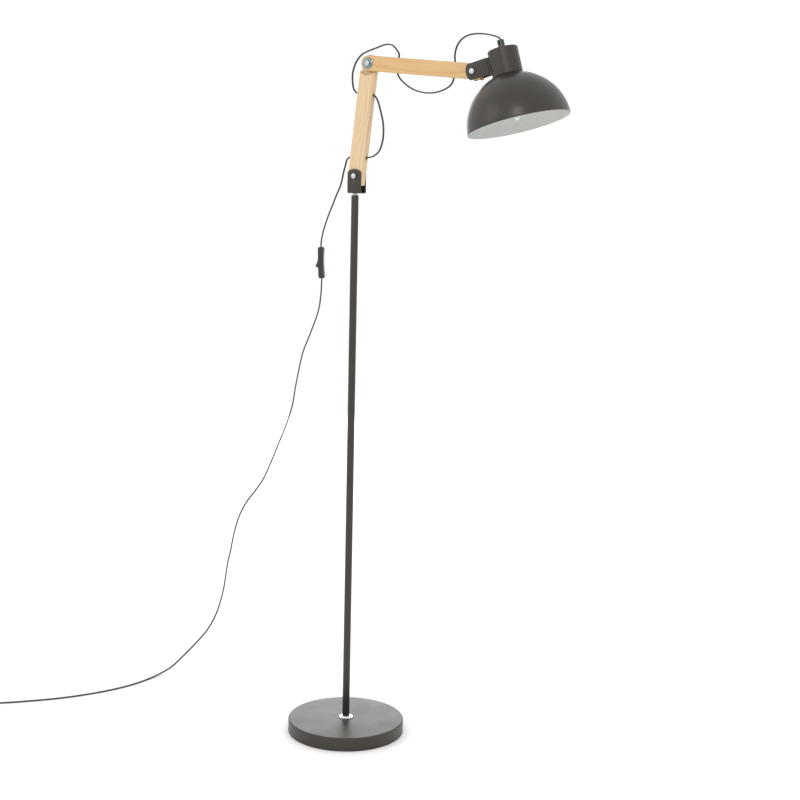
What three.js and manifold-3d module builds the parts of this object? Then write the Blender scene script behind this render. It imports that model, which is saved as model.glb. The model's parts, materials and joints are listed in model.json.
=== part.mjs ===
// Adjustable arm floor lamp: a weighted disc base and a steel pole carry two pine arms and a domed shade.
// Millimetres, +Z up. The origin is the middle of the underside of the base, and the arms reach out along +X.
import * as THREE from "three";
import { mergeVertices } from "three/addons/utils/BufferGeometryUtils.js";
import Module from "manifold-3d";

const wasm = await Module();
wasm.setup();

// Driving dimensions.
const GAP = 0.3; // clearance between pieces that touch or turn
const BASE_RADIUS = 125;
const BASE_HEIGHT = 29;
const COLLAR = { radius: 15, height: 4 };
const POLE = { radius: 7.7, wall: 1.2, top: 1156 };
const ARM = { depth: 17.4, edge: 2.8, overrun: 17.5 };
const ARM_WIDTH = { lower: 35, upper: 30.8 };
const LAP_HALF_GAP = 0.6; // half of the space between the two halves of the elbow
const LAP_RADIUS = 24.5; // of the hollow shoulder cut around the elbow
const LOWER_SPAN = 228; // from the lower pivot to the elbow
const UPPER_SPAN = 239.5; // from the elbow to the head pivot
const CORD_HOLE_RADIUS = 3.7;
const NEAR_HOLE = { lower: 61.5, upper: 66 }; // from the elbow to the nearer cord hole of each arm
const FAR_HOLE = { lower: 189.5, upper: 196 };
const CORD_LEAN = 1.6; // of the cord to one side of a hole's mouth
const BRACKET = { width: 32.4, sheet: 1.6, seat: 35, reach: 14.5, bend: 4 };
const PIVOT_HEIGHT = 1195;
const PIVOT_OFFSET = 3.6; // of the lower pivot from the axis of the pole
const PIVOT_BOLT_RADIUS = 3;
const CLEARANCE_RADIUS = 3.3;
const SHADE = { radius: 101.8, height: 102.2, wall: 1.2, power: 1.93, hole: 14.6 };
const HEAD_AXIS = 66.8; // from the head pivot to the axis of the shade
const RIM_DROP = 125; // from the head pivot down to the plane of the rim
const NECK = { radius: 30, top: 24, bottom: -26.8, wall: 1.2 };
const HOLDER_RADIUS = 13.6;
const BULB = { radius: 17.5, neck: -39.3, tip: -116 };
const LEAN = THREE.MathUtils.degToRad(6.6); // of the lower arm from upright, towards +X
const SLOPE = THREE.MathUtils.degToRad(4.8); // of the upper arm, down towards the head
const HEAD_TILT = THREE.MathUtils.degToRad(16); // of the shade's axis from upright
const CORD = { width: 5, thickness: 3 };
const COIL = { radius: 29, half: 5 };

// Finishes.
const finish = (color, roughness, metalness) => () =>
  new THREE.MeshStandardMaterial({ color, roughness, metalness });
const blackCoat = finish(0x4a4541, 0.5, 0.2);
const pine = finish(0xe6cda5, 0.55, 0);
const chrome = finish(0xd8dadc, 0.12, 1);
const zinc = finish(0xc9cdd0, 0.3, 1);
const blackPlastic = finish(0x2e2a27, 0.4, 0);
const cordSheath = finish(0x463f39, 0.6, 0);
const castIron = finish(0x4d4c4a, 0.8, 0.6);
const felt = finish(0x3a3a3a, 0.98, 0);
const glass = finish(0xf4f2ea, 0.25, 0);
const porcelain = finish(0xeeeeea, 0.35, 0);
const brass = finish(0xc9a860, 0.3, 1);

// Geometry helpers.
function solidOf(geometry) {
  const bare = geometry.clone();
  bare.deleteAttribute("normal");
  bare.deleteAttribute("uv");
  const merged = mergeVertices(bare, 1e-4);
  return new wasm.Manifold(
    new wasm.Mesh({
      numProp: 3,
      vertProperties: merged.attributes.position.array,
      triVerts: new Uint32Array(merged.index.array),
    }),
  );
}

function geometryOf(solid) {
  const mesh = solid.getMesh();
  return new THREE.BufferGeometry()
    .setAttribute("position", new THREE.BufferAttribute(mesh.vertProperties, 3))
    .setIndex(new THREE.BufferAttribute(mesh.triVerts, 1));
}

function cut(blank, ...tools) {
  return geometryOf(tools.reduce((left, tool) => left.subtract(solidOf(tool)), solidOf(blank)));
}

function join(...pieces) {
  return geometryOf(pieces.map(solidOf).reduce((sum, piece) => sum.add(piece)));
}

function common(...pieces) {
  return geometryOf(pieces.map(solidOf).reduce((sum, piece) => sum.intersect(piece)));
}

// Turns an outline of [radius, height] points about the Z axis.
function revolve(outline, sides = 32) {
  const points = outline.map(([radius, height]) => new THREE.Vector2(radius, height));
  return new THREE.LatheGeometry(points, sides).rotateX(Math.PI / 2);
}

function rod(radius, low, high, sides = 24) {
  return revolve([[0, low], [radius, low], [radius, high], [0, high]], sides);
}

function tube(inner, outer, low, high, sides = 32) {
  return revolve([[inner, low], [outer, low], [outer, high], [inner, high], [inner, low]], sides);
}

// A hexagonal prism; flats is the size across its flats.
function hexagon(flats, low, high) {
  return rod(flats / Math.sqrt(3), low, high, 6);
}

function box(lowest, highest) {
  const size = highest.map((value, axis) => value - lowest[axis]);
  const middle = highest.map((value, axis) => (value + lowest[axis]) / 2);
  return new THREE.BoxGeometry(...size).translate(...middle);
}

// Turns a piece made about the Z axis so that its upper end points to the front, along -Y.
const toFront = (geometry) => geometry.rotateX(Math.PI / 2);

function roundedRectangle(halfWidth, halfHeight, radius) {
  const shape = new THREE.Shape();
  shape.absarc(halfWidth - radius, halfHeight - radius, radius, 0, Math.PI / 2);
  shape.absarc(radius - halfWidth, halfHeight - radius, radius, Math.PI / 2, Math.PI);
  shape.absarc(radius - halfWidth, radius - halfHeight, radius, Math.PI, 1.5 * Math.PI);
  shape.absarc(halfWidth - radius, radius - halfHeight, radius, 1.5 * Math.PI, 2 * Math.PI);
  return shape;
}

function extrude(shape, depth, curveSegments) {
  return new THREE.ExtrudeGeometry(shape, { depth, bevelEnabled: false, curveSegments });
}

// A prism through the whole depth of the lamp, from an outline drawn in the X-Z plane.
function throughDepth(shape, halfDepth, curveSegments) {
  return extrude(shape, 2 * halfDepth, curveSegments).translate(0, 0, -halfDepth).rotateX(Math.PI / 2);
}

function smoothPath(points) {
  return new THREE.CatmullRomCurve3(points.map((point) => new THREE.Vector3(...point)));
}

// A flat twin cord along a path: eight sides, wider across the path's plane than in it.
// turn is how far the section is turned about the path.
function cordAlong(points, steps, turn = 0) {
  const section = new THREE.Shape();
  for (let side = 0; side < 8; side += 1) {
    const angle = ((side + 0.5) * Math.PI) / 4;
    const corner = new THREE.Vector2(Math.cos(angle), Math.sin(angle))
      .multiply(new THREE.Vector2(CORD.width / 2, CORD.thickness / 2))
      .rotateAround(new THREE.Vector2(), turn);
    section.lineTo(corner.x, corner.y);
  }
  return new THREE.ExtrudeGeometry(section, { steps, extrudePath: smoothPath(points) });
}

// The turn that makes a cord level across at the end of its path.
function levelTurn(points, steps) {
  const { normals, binormals } = smoothPath(points).computeFrenetFrames(steps);
  return Math.atan2(-normals[steps].z, binormals[steps].z);
}

const lamp = new THREE.Group();

function place(parent, name, geometry, material) {
  const mesh = new THREE.Mesh(geometry, material());
  mesh.name = name;
  parent.add(mesh);
}

function carrier(parent, position, turn) {
  const group = new THREE.Group();
  group.position.set(...position);
  group.rotation.set(...turn);
  parent.add(group);
  return group;
}

// Base: a pressed cover over a cast weight, a pad below and a chrome collar under the pole.
const STUD_RADIUS = 4;
const BORE_RADIUS = STUD_RADIUS + GAP;
const PAD_HEIGHT = 2;

function baseCover() {
  const wall = 1.2;
  const edge = 3;
  const foot = 0.8;
  const arc = [0, 0.25, 0.5, 0.75, 1].map((share) => (share * Math.PI) / 2);
  const outer = arc.map((angle) => [
    BASE_RADIUS - edge + edge * Math.cos(angle),
    BASE_HEIGHT - edge + edge * Math.sin(angle),
  ]);
  return revolve(
    [
      [BASE_RADIUS - wall, foot],
      [BASE_RADIUS, foot],
      ...outer,
      [BORE_RADIUS, BASE_HEIGHT],
      [BORE_RADIUS, BASE_HEIGHT - wall],
      [BASE_RADIUS - edge, BASE_HEIGHT - wall],
      [BASE_RADIUS - wall, BASE_HEIGHT - edge],
      [BASE_RADIUS - wall, foot],
    ],
    56,
  );
}

const WEIGHT_TOP = 15;

function baseWeight() {
  const radius = BASE_RADIUS - 1.6;
  const foot = PAD_HEIGHT + GAP;
  const recess = { radius: 16, roof: 11 };
  return revolve(
    [
      [recess.radius, foot],
      [radius, foot],
      [radius, WEIGHT_TOP],
      [BORE_RADIUS, WEIGHT_TOP],
      [BORE_RADIUS, recess.roof],
      [recess.radius, recess.roof],
      [recess.radius, foot],
    ],
    40,
  );
}

place(lamp, "base_cover", baseCover(), blackCoat);
place(lamp, "base_weight", baseWeight(), castIron);
place(lamp, "base_pad", rod(BASE_RADIUS - 5, 0, PAD_HEIGHT, 40), felt);
place(lamp, "base_spacer", tube(BORE_RADIUS, 18, WEIGHT_TOP + GAP, BASE_HEIGHT - 1.5, 24), castIron);
place(lamp, "base_washer", tube(BORE_RADIUS, 12, 9.2, 10.7, 20), zinc);
place(lamp, "base_bolt", join(hexagon(13, 3.2, 8.9), rod(STUD_RADIUS, 8, 72, 16)), zinc);

const COLLAR_FOOT = BASE_HEIGHT + GAP;
const COLLAR_TOP = COLLAR_FOOT + COLLAR.height;

function baseCollar() {
  const { radius } = COLLAR;
  return revolve(
    [
      [BORE_RADIUS, COLLAR_FOOT],
      [radius, COLLAR_FOOT],
      [radius, COLLAR_TOP - 1],
      [radius - 1, COLLAR_TOP],
      [BORE_RADIUS, COLLAR_TOP],
      [BORE_RADIUS, COLLAR_FOOT],
    ],
    28,
  );
}

place(lamp, "base_collar", baseCollar(), chrome);

// Pole: one steel tube with a threaded sleeve pressed into each end.
const SLEEVE_RADIUS = POLE.radius - POLE.wall - 0.2;
const POLE_FOOT = COLLAR_TOP + GAP;
place(lamp, "pole", tube(POLE.radius - POLE.wall, POLE.radius, POLE_FOOT, POLE.top, 24), blackCoat);
place(lamp, "pole_foot_sleeve", tube(BORE_RADIUS, SLEEVE_RADIUS, POLE_FOOT, 68, 16), zinc);
place(lamp, "pole_top_sleeve", tube(BORE_RADIUS, SLEEVE_RADIUS, 1120, POLE.top, 16), zinc);

// Bracket: a U of bent sheet; its pivot is the origin and its seat lies below, with its bore at boreAt.
function bracket(boreAt) {
  const { width, sheet, seat, reach, bend } = BRACKET;
  const inner = ARM.depth / 2 + GAP;
  const outer = inner + sheet;
  const channel = new THREE.Shape();
  channel.moveTo(-outer, reach + 1);
  channel.lineTo(-outer, bend - seat);
  channel.absarc(bend - outer, bend - seat, bend, Math.PI, 1.5 * Math.PI);
  channel.absarc(outer - bend, bend - seat, bend, 1.5 * Math.PI, 2 * Math.PI);
  channel.lineTo(outer, reach + 1);
  channel.lineTo(inner, reach + 1);
  channel.lineTo(inner, bend - seat);
  channel.absarc(outer - bend, bend - seat, bend - sheet, 0, -Math.PI / 2, true);
  channel.absarc(bend - outer, bend - seat, bend - sheet, -Math.PI / 2, -Math.PI, true);
  channel.lineTo(-inner, reach + 1);
  const folded = extrude(channel, width, 4)
    .translate(0, 0, -width / 2)
    .rotateX(Math.PI / 2)
    .rotateZ(Math.PI / 2);
  const cheek = new THREE.Shape();
  const shoulder = 9.5;
  const corner = 3;
  const crown = 26;
  const spread = Math.asin((width / 2 - corner) / crown);
  cheek.moveTo(-width / 2, -seat - 1);
  cheek.lineTo(width / 2, -seat - 1);
  cheek.lineTo(width / 2, shoulder - corner);
  cheek.absarc(width / 2 - corner, shoulder - corner, corner, 0, Math.PI / 2 - spread);
  cheek.absarc(0, reach - crown, crown, Math.PI / 2 - spread, Math.PI / 2 + spread);
  cheek.absarc(corner - width / 2, shoulder - corner, corner, Math.PI / 2 + spread, Math.PI);
  return cut(
    common(folded, throughDepth(cheek, outer + 1, 6)),
    toFront(rod(CLEARANCE_RADIUS, -outer - 1, outer + 1, 20)),
    rod(BORE_RADIUS, -seat - 1, -seat + sheet + 1, 20).translate(boreAt, 0, 0),
  );
}

const BRACKET_FACE = ARM.depth / 2 + GAP + BRACKET.sheet; // from the middle plane to a cheek's outer face

// Pivot hardware along Y: a hexagon bolt from the front and a lock nut at the back.
function pivotBolt(face, headHeight, flats) {
  const headFoot = face + GAP;
  return toFront(
    join(
      hexagon(flats, headFoot, headFoot + headHeight),
      rod(PIVOT_BOLT_RADIUS, -face - 8, headFoot + 1, 20),
    ),
  );
}

function lockNut(face) {
  const bore = rod(PIVOT_BOLT_RADIUS + GAP, -face - 8, -face + 1, 20);
  return toFront(cut(join(hexagon(10, -face - 4.6, -face - GAP), rod(4.6, -face - 6.3, -face - 4)), bore));
}

const STUD = { foot: 1126, top: 1169.2 };
const SEAT_HEIGHT = PIVOT_HEIGHT - BRACKET.seat;
place(lamp, "top_stud", rod(STUD_RADIUS, STUD.foot, STUD.top, 16), zinc);
place(lamp, "stud_washer", tube(BORE_RADIUS, 5.6, POLE.top + GAP, SEAT_HEIGHT - GAP, 24), zinc);
const SEAT_INSIDE = SEAT_HEIGHT + BRACKET.sheet;
place(
  lamp,
  "stud_nut",
  cut(hexagon(12, SEAT_INSIDE + GAP, SEAT_INSIDE + 6), rod(BORE_RADIUS, SEAT_INSIDE, SEAT_INSIDE + 7, 20)),
  zinc,
);

const lowerPivot = carrier(lamp, [PIVOT_OFFSET, 0, PIVOT_HEIGHT], [0, 0, 0]);
place(lowerPivot, "lower_bracket", bracket(-PIVOT_OFFSET), blackCoat);
place(lowerPivot, "lower_pivot_bolt", pivotBolt(BRACKET_FACE, 4, 10), zinc);
place(lowerPivot, "lower_pivot_nut", lockNut(BRACKET_FACE), zinc);

// Arms: pine bars, halved at the elbow. The elbow is the origin and the bar runs along +X.
// side is -1 where the front half stays at the elbow, and +1 where the back half does.
function arm(width, span, holes, side) {
  const { depth, edge, overrun } = ARM;
  const half = width / 2;
  const end = span + overrun;
  const bar = extrude(roundedRectangle(half, depth / 2, edge), end + half, 5)
    .translate(0, 0, -half)
    .rotateY(Math.PI / 2);
  const outline = new THREE.Shape();
  const corner = 2;
  outline.absarc(0, 0, half, Math.PI / 2, 1.5 * Math.PI);
  outline.absarc(end - corner, corner - half, corner, 1.5 * Math.PI, 2 * Math.PI);
  outline.absarc(end - corner, half - corner, corner, 0, Math.PI / 2);
  const lap = [-LAP_HALF_GAP, depth].map((distance) => distance * side);
  const lapLow = Math.min(...lap);
  const lapHigh = Math.max(...lap);
  const cordHole = (along) => rod(CORD_HOLE_RADIUS, -width, width, 20).translate(along, 0, 0);
  const pivotHole = (along) => toFront(rod(CLEARANCE_RADIUS, -depth, depth, 20)).translate(along, 0, 0);
  return cut(
    common(bar, throughDepth(outline, depth, 12)),
    toFront(rod(LAP_RADIUS, lapLow, lapHigh, 48)),
    pivotHole(0),
    pivotHole(span),
    ...holes.map(cordHole),
  );
}

// The bar is made along +X and stood on end, so that the elbow is at the top.
const lowerArm = carrier(lamp, [PIVOT_OFFSET, 0, PIVOT_HEIGHT], [0, LEAN, 0]);
const elbow = carrier(lowerArm, [0, 0, LOWER_SPAN], [0, 0, 0]);
const lowerBar = arm(ARM_WIDTH.lower, LOWER_SPAN, [NEAR_HOLE.lower, FAR_HOLE.lower], 1);
place(elbow, "lower_arm", lowerBar.rotateY(Math.PI / 2), pine);

const ARM_FACE = ARM.depth / 2;

function cupWasher() {
  const foot = ARM_FACE + GAP;
  return toFront(
    revolve(
      [
        [CLEARANCE_RADIUS, foot],
        [11.2, foot],
        [11.2, foot + 0.8],
        [9.4, foot + 1.8],
        [6.6, foot + 2],
        [CLEARANCE_RADIUS, foot + 1.2],
        [CLEARANCE_RADIUS, foot],
      ],
      28,
    ),
  );
}

const ELBOW_FACE = ARM_FACE + GAP + 2;

function elbowBolt() {
  const headFoot = ELBOW_FACE + GAP;
  const button = [
    [0, headFoot],
    [5.4, headFoot],
    [5.4, headFoot + 1.2],
    [3.6, headFoot + 2.6],
    [0, headFoot + 3],
  ];
  const shaft = rod(PIVOT_BOLT_RADIUS, -ARM_FACE - 10, headFoot + 1, 20);
  return toFront(join(revolve(button, 28), shaft));
}

place(elbow, "elbow_bolt", elbowBolt(), zinc);
place(elbow, "elbow_cup_washer", cupWasher(), zinc);
place(elbow, "elbow_friction_disc", toFront(tube(CLEARANCE_RADIUS, 12, -GAP, GAP, 28)), blackPlastic);
const backWasher = tube(CLEARANCE_RADIUS, 9, -ARM_FACE - 1.8, -ARM_FACE - GAP, 28);
place(elbow, "elbow_back_washer", toFront(backWasher), zinc);
place(elbow, "elbow_nut", lockNut(ARM_FACE + 1.8), zinc);

const ELBOW_AT = [
  PIVOT_OFFSET + LOWER_SPAN * Math.sin(LEAN),
  0,
  PIVOT_HEIGHT + LOWER_SPAN * Math.cos(LEAN),
];
const upperArm = carrier(lamp, ELBOW_AT, [0, SLOPE, 0]);
const upperBar = arm(ARM_WIDTH.upper, UPPER_SPAN, [NEAR_HOLE.upper, FAR_HOLE.upper], -1);
place(upperArm, "upper_arm", upperBar, pine);

// Head: everything that tilts about the head pivot. +X runs from the pivot to the shade's axis.
const HEAD_AT = [
  ELBOW_AT[0] + UPPER_SPAN * Math.cos(SLOPE),
  0,
  ELBOW_AT[2] - UPPER_SPAN * Math.sin(SLOPE),
];
const head = carrier(lamp, HEAD_AT, [0, -HEAD_TILT, 0]);
const headAxis = carrier(head, [HEAD_AXIS, 0, 0], [0, 0, 0]);

place(head, "head_bracket", bracket(0).rotateY(-Math.PI / 2), blackCoat);
place(head, "head_pivot_bolt", pivotBolt(BRACKET_FACE, 4, 10), zinc);
place(head, "head_pivot_nut", lockNut(BRACKET_FACE), zinc);

const toOutward = (geometry) => geometry.rotateY(Math.PI / 2);

function saddle() {
  const seat = BRACKET.seat + GAP;
  const halfWidth = BRACKET.width / 2 - 0.6;
  return cut(
    box([seat, 0.6 - BRACKET_FACE, -halfWidth], [seat + 3.4, BRACKET_FACE - 0.6, halfWidth]),
    rod(NECK.radius + GAP, -40, 40, 64).translate(HEAD_AXIS, 0, 0),
    toOutward(rod(BORE_RADIUS, seat - 1, seat + 6, 20)),
  );
}

place(head, "bracket_saddle", saddle(), blackPlastic);
const SCREW_SEAT = BRACKET.seat - BRACKET.sheet - GAP;
const NECK_INSIDE = HEAD_AXIS - NECK.radius + NECK.wall;
const screwHead = rod(7, SCREW_SEAT - 3, SCREW_SEAT, 24);
const screwShaft = rod(STUD_RADIUS, SCREW_SEAT - 1, NECK_INSIDE + 9, 20);
place(head, "bracket_screw", toOutward(join(screwHead, screwShaft)), zinc);
place(
  head,
  "bracket_screw_nut",
  toOutward(
    cut(hexagon(13, NECK_INSIDE + 2, NECK_INSIDE + 7.5), rod(BORE_RADIUS, NECK_INSIDE, NECK_INSIDE + 9, 20)),
  ),
  zinc,
);

function neckCup() {
  const { radius, top, bottom, wall } = NECK;
  const edge = 2.6;
  const nipple = 5.3;
  const arc = [0, 1 / 3, 2 / 3, 1].map((share) => (share * Math.PI) / 2);
  const shell = revolve(
    [
      [radius - wall, bottom],
      [radius, bottom],
      ...arc.map((angle) => [radius - edge + edge * Math.cos(angle), top - edge + edge * Math.sin(angle)]),
      [nipple, top],
      [nipple, top - wall],
      [radius - edge, top - wall],
      [radius - wall, top - edge],
      [radius - wall, bottom],
    ],
    40,
  );
  const screwHole = toOutward(rod(BORE_RADIUS, -5, 5, 20)).translate(-radius, 0, 0);
  return cut(shell, screwHole);
}

place(headAxis, "neck_cup", neckCup(), blackCoat);

// The dome is a superellipse of revolution; share runs from 0 at the rim to 1 at the crown.
function domePoint(share, inset) {
  const { radius, height, power } = SHADE;
  const angle = (share * Math.PI) / 2;
  const out = (radius - inset) * Math.cos(angle) ** (2 / power);
  const up = (height - inset) * Math.sin(angle) ** (2 / power);
  return [out, up - RIM_DROP];
}

function domeCurve(inset, steps) {
  const { hole } = SHADE;
  const points = [];
  for (let step = 0; step <= steps; step += 1) {
    const point = domePoint(step / steps, inset);
    if (point[0] > hole + 2) points.push(point);
  }
  points.push([hole, SHADE.height - inset - RIM_DROP - 1]);
  return points;
}

function shade() {
  const steps = 11;
  const outside = domeCurve(0, steps);
  const inside = domeCurve(SHADE.wall, steps).reverse();
  return revolve([...outside, ...inside, outside[0]], 40);
}

place(headAxis, "shade", shade(), blackCoat);

// Lamp holder on a hollow nipple, with the ring that clamps the shade.
function lampHolder() {
  const bore = 8.2;
  return revolve(
    [
      [bore, -38.8],
      [HOLDER_RADIUS - 1.5, -38.8],
      [HOLDER_RADIUS, -37.5],
      [HOLDER_RADIUS, -23.2],
      [17.5, -23.2],
      [17.5, -19.5],
      [HOLDER_RADIUS, -19.5],
      [HOLDER_RADIUS, 5],
      [9, 12],
      [5.3, 12],
      [5.3, -6],
      [4, -6],
      [4, -12],
      [bore, -12],
      [bore, -38.8],
    ],
    24,
  );
}

place(headAxis, "lamp_holder", lampHolder(), porcelain);
place(headAxis, "shade_ring", tube(HOLDER_RADIUS + GAP, 18.8, -33, -27.2, 24), porcelain);
place(headAxis, "nipple", tube(3.4, 5, -5.6, 31, 16), zinc);
place(headAxis, "nipple_nut", cut(hexagon(14, 17.5, 22.4), rod(5.3, 17, 23)), zinc);

const GRIP = { radius: 7, foot: NECK.top + GAP, top: NECK.top + 18 };

function cordGrip() {
  const { radius, foot, top } = GRIP;
  const body = revolve(
    [
      [5.3, foot],
      [radius + 1.2, foot],
      [radius + 1.2, foot + 2.4],
      [radius, foot + 3.2],
      [radius, top - 1],
      [radius - 1, top],
      [2.9, top],
      [2.9, 31.4],
      [5.3, 31.4],
      [5.3, foot],
    ],
    20,
  );
  return cut(body, box([-1, -radius - 2, top - 10], [1, -1.4, top + 1]));
}

place(headAxis, "cord_grip", cordGrip(), blackPlastic);

function bulbGlass() {
  const { radius, neck, tip } = BULB;
  const widest = neck - 31;
  const tipRadius = 6;
  const points = [[0, neck], [9, neck]];
  for (let step = 1; step <= 4; step += 1) {
    const angle = (step / 4) * (Math.PI / 2);
    points.push([9 + (radius - 9) * Math.sin(angle), neck + (widest - neck) * (step / 4) ** 1.15]);
  }
  for (let step = 1; step <= 5; step += 1) {
    const share = step / 5;
    const taper = (1 + Math.cos(Math.PI * share ** 0.92)) / 2;
    points.push([tipRadius + (radius - tipRadius) * taper, widest + (tip + tipRadius - widest) * share]);
  }
  for (let step = 1; step <= 3; step += 1) {
    const angle = (step / 3) * (Math.PI / 2);
    points.push([tipRadius * Math.cos(angle), tip + tipRadius - tipRadius * Math.sin(angle)]);
  }
  points[points.length - 1][0] = 0;
  return revolve(points.reverse(), 20);
}

place(headAxis, "bulb_glass", bulbGlass(), glass);
place(
  headAxis,
  "bulb_cap",
  revolve([[0, BULB.neck + GAP], [6.9, BULB.neck + GAP], [6.9, -20], [3, -16.5], [3, -15], [0, -15]], 24),
  brass,
);

// Cord through the arms: places where it enters and leaves each hole, in world coordinates.
function holeMouth(pivotAt, direction, along, across) {
  const [dx, dz] = direction;
  return [pivotAt[0] + dx * along - dz * across, 0, pivotAt[2] + dz * along + dx * across];
}

const upperDirection = [Math.cos(SLOPE), -Math.sin(SLOPE)];
const lowerDirection = [-Math.sin(LEAN), -Math.cos(LEAN)];
const FACE = { lower: ARM_WIDTH.lower / 2, upper: ARM_WIDTH.upper / 2 };
const upperHole = (along, across) => holeMouth(ELBOW_AT, upperDirection, along, across);
const lowerHole = (along, across) => holeMouth(ELBOW_AT, lowerDirection, along, across);

// Cord from the grip on the head, over in a bow and into the top of the upper arm.
const headX = (along, up) => HEAD_AT[0] + along * Math.cos(HEAD_TILT) - up * Math.sin(HEAD_TILT);
const headZ = (along, up) => HEAD_AT[2] + along * Math.sin(HEAD_TILT) + up * Math.cos(HEAD_TILT);
const gripPoint = (up) => [headX(HEAD_AXIS, up), 0, headZ(HEAD_AXIS, up)];
const headCord = [
  gripPoint(GRIP.top - 5),
  gripPoint(GRIP.top + 2),
  [316.4, 0, 1465.6],
  [309.3, 0, 1468],
  [300, 0, 1470.3],
  [288, 0, 1472.3],
  [275, 0, 1473.4],
  [262, 0, 1472.9],
  [250, 0, 1470.4],
  [239.5, 0, 1465],
  [231.8, 0, 1457.4],
  [226.6, 0, 1447.5],
  [224.1, 0, 1437],
  [223.8, 0, 1428.5],
  upperHole(FAR_HOLE.upper - CORD_LEAN, FACE.upper + GAP),
];
place(lamp, "cord_head", cordAlong(headCord, 22), cordSheath);

const upperCord = [
  upperHole(FAR_HOLE.upper - CORD_LEAN, FACE.upper),
  upperHole(FAR_HOLE.upper - 1.3, 0),
  upperHole(FAR_HOLE.upper - 1, -FACE.upper),
  [219.5, 0, 1380.4],
  [215, 0, 1375.1],
  [202.6, 0, 1368],
  [189, 0, 1363.6],
  [176, 0, 1361.7],
  [162, 0, 1361.7],
  [148.5, 0, 1363.7],
  [134.7, 0, 1367.8],
  [120.8, 0, 1374.6],
  [106.7, 0, 1384.9],
  [100.5, 0, 1391],
  upperHole(NEAR_HOLE.upper + 0.8, -FACE.upper),
  upperHole(NEAR_HOLE.upper, 0),
  upperHole(NEAR_HOLE.upper, FACE.upper),
];
place(lamp, "cord_upper_arm", cordAlong(upperCord, 22), cordSheath);

const elbowCord = [
  upperHole(NEAR_HOLE.upper, FACE.upper + GAP),
  upperHole(NEAR_HOLE.upper, FACE.upper + 7),
  [90.5, 0, 1448.5],
  [82, 0, 1456],
  [71.2, 0, 1458.2],
  [59.4, 0, 1456.6],
  [44.5, 0, 1451.8],
  [26.8, 0, 1446.6],
  [11.7, 0, 1440.2],
  [0.3, 0, 1429.6],
  [-7.5, 0, 1414.8],
  [-11, 0, 1399.6],
  [-10.5, 0, 1384.2],
  [-6.8, 0, 1369.5],
  lowerHole(NEAR_HOLE.lower, -FACE.lower - 5),
  lowerHole(NEAR_HOLE.lower, -FACE.lower - GAP),
];
place(lamp, "cord_elbow", cordAlong(elbowCord, 22), cordSheath);

const lowerCord = [
  lowerHole(NEAR_HOLE.lower, -FACE.lower),
  lowerHole(NEAR_HOLE.lower, 0),
  lowerHole(NEAR_HOLE.lower, FACE.lower),
  [48.6, 0, 1349.6],
  [57.2, 0, 1326.5],
  [63.1, 0, 1304.8],
  [65, 0, 1284.5],
  [62.6, 0, 1264],
  [55.5, 0, 1246.5],
  [42, 0, 1236],
  lowerHole(FAR_HOLE.lower - CORD_LEAN, FACE.lower),
  lowerHole(FAR_HOLE.lower, 0),
  lowerHole(FAR_HOLE.lower + CORD_LEAN, -FACE.lower),
];
place(lamp, "cord_lower_arm", cordAlong(lowerCord, 20), cordSheath);

// Supply cord: out of the lower arm to the switch, down to the floor and away to its coil.
const SWITCH = { half: 33, front: 6, back: 7, width: 11.5 };
const switchBody = carrier(
  lamp,
  [-80.3, 0, 1013.5],
  [0, THREE.MathUtils.degToRad(-2.4), THREE.MathUtils.degToRad(25)],
);

// The switch's outline seen from the side; its back is slightly hollow.
function switchSide(front, back) {
  const { half } = SWITCH;
  const shape = new THREE.Shape();
  shape.moveTo(front, 3 - half);
  shape.lineTo(front + 2, -half);
  shape.lineTo(back - 2, -half);
  shape.lineTo(back, 3 - half);
  if (back > 0.5) shape.quadraticCurveTo(back - 3, 0, back, half - 3);
  shape.lineTo(back, half - 3);
  shape.lineTo(back - 2, half);
  shape.lineTo(front + 2, half);
  shape.lineTo(front, half - 3);
  return shape;
}

// The switch's outline seen from the front: a waist, and ends that taper to the cord.
function switchFace() {
  const { half, width } = SWITCH;
  const shape = new THREE.Shape();
  shape.moveTo(width, 10 - half);
  shape.quadraticCurveTo(width - 3, 0, width, half - 10);
  shape.quadraticCurveTo(width, half - 1, 5, half);
  shape.lineTo(-5, half);
  shape.quadraticCurveTo(-width, half - 1, -width, half - 10);
  shape.quadraticCurveTo(3 - width, 0, -width, 10 - half);
  shape.quadraticCurveTo(-width, 1 - half, -5, -half);
  shape.lineTo(5, -half);
  shape.quadraticCurveTo(width, 1 - half, width, 10 - half);
  return shape;
}

function switchHalf(front, back) {
  const { width } = SWITCH;
  const faceOn = throughDepth(switchFace(), 10, 6).rotateZ(Math.PI / 2);
  return common(throughDepth(switchSide(front, back), width + 1, 8), faceOn);
}

const ROCKER = { halfWidth: 4.8, end: 13, floor: -1.6 };
const screwHeights = { upper: 19, lower: -19 };
const switchScrew = (radius, low, high) => toOutward(rod(radius, low, high, 16));
place(
  switchBody,
  "switch_cover",
  cut(
    switchHalf(-SWITCH.front, -GAP / 2),
    box(
      [-SWITCH.front - 1, -ROCKER.halfWidth - 0.5, -ROCKER.end],
      [ROCKER.floor, ROCKER.halfWidth + 0.5, ROCKER.end],
    ),
  ),
  blackPlastic,
);
place(
  switchBody,
  "switch_back",
  cut(
    switchHalf(GAP / 2, SWITCH.back),
    ...Object.values(screwHeights).map((height) => switchScrew(2.6, 4, 8).translate(0, 0, height)),
  ),
  blackPlastic,
);
for (const [end, height] of Object.entries(screwHeights))
  place(switchBody, `switch_screw_${end}`, switchScrew(2.2, 4.3, 5.9).translate(0, 0, height), zinc);

// Thumb rocker, pivoting on the axis across the switch at its own origin.
const rockerPivot = carrier(switchBody, [-4, 0, 0], [0, 0, 0]);

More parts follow.
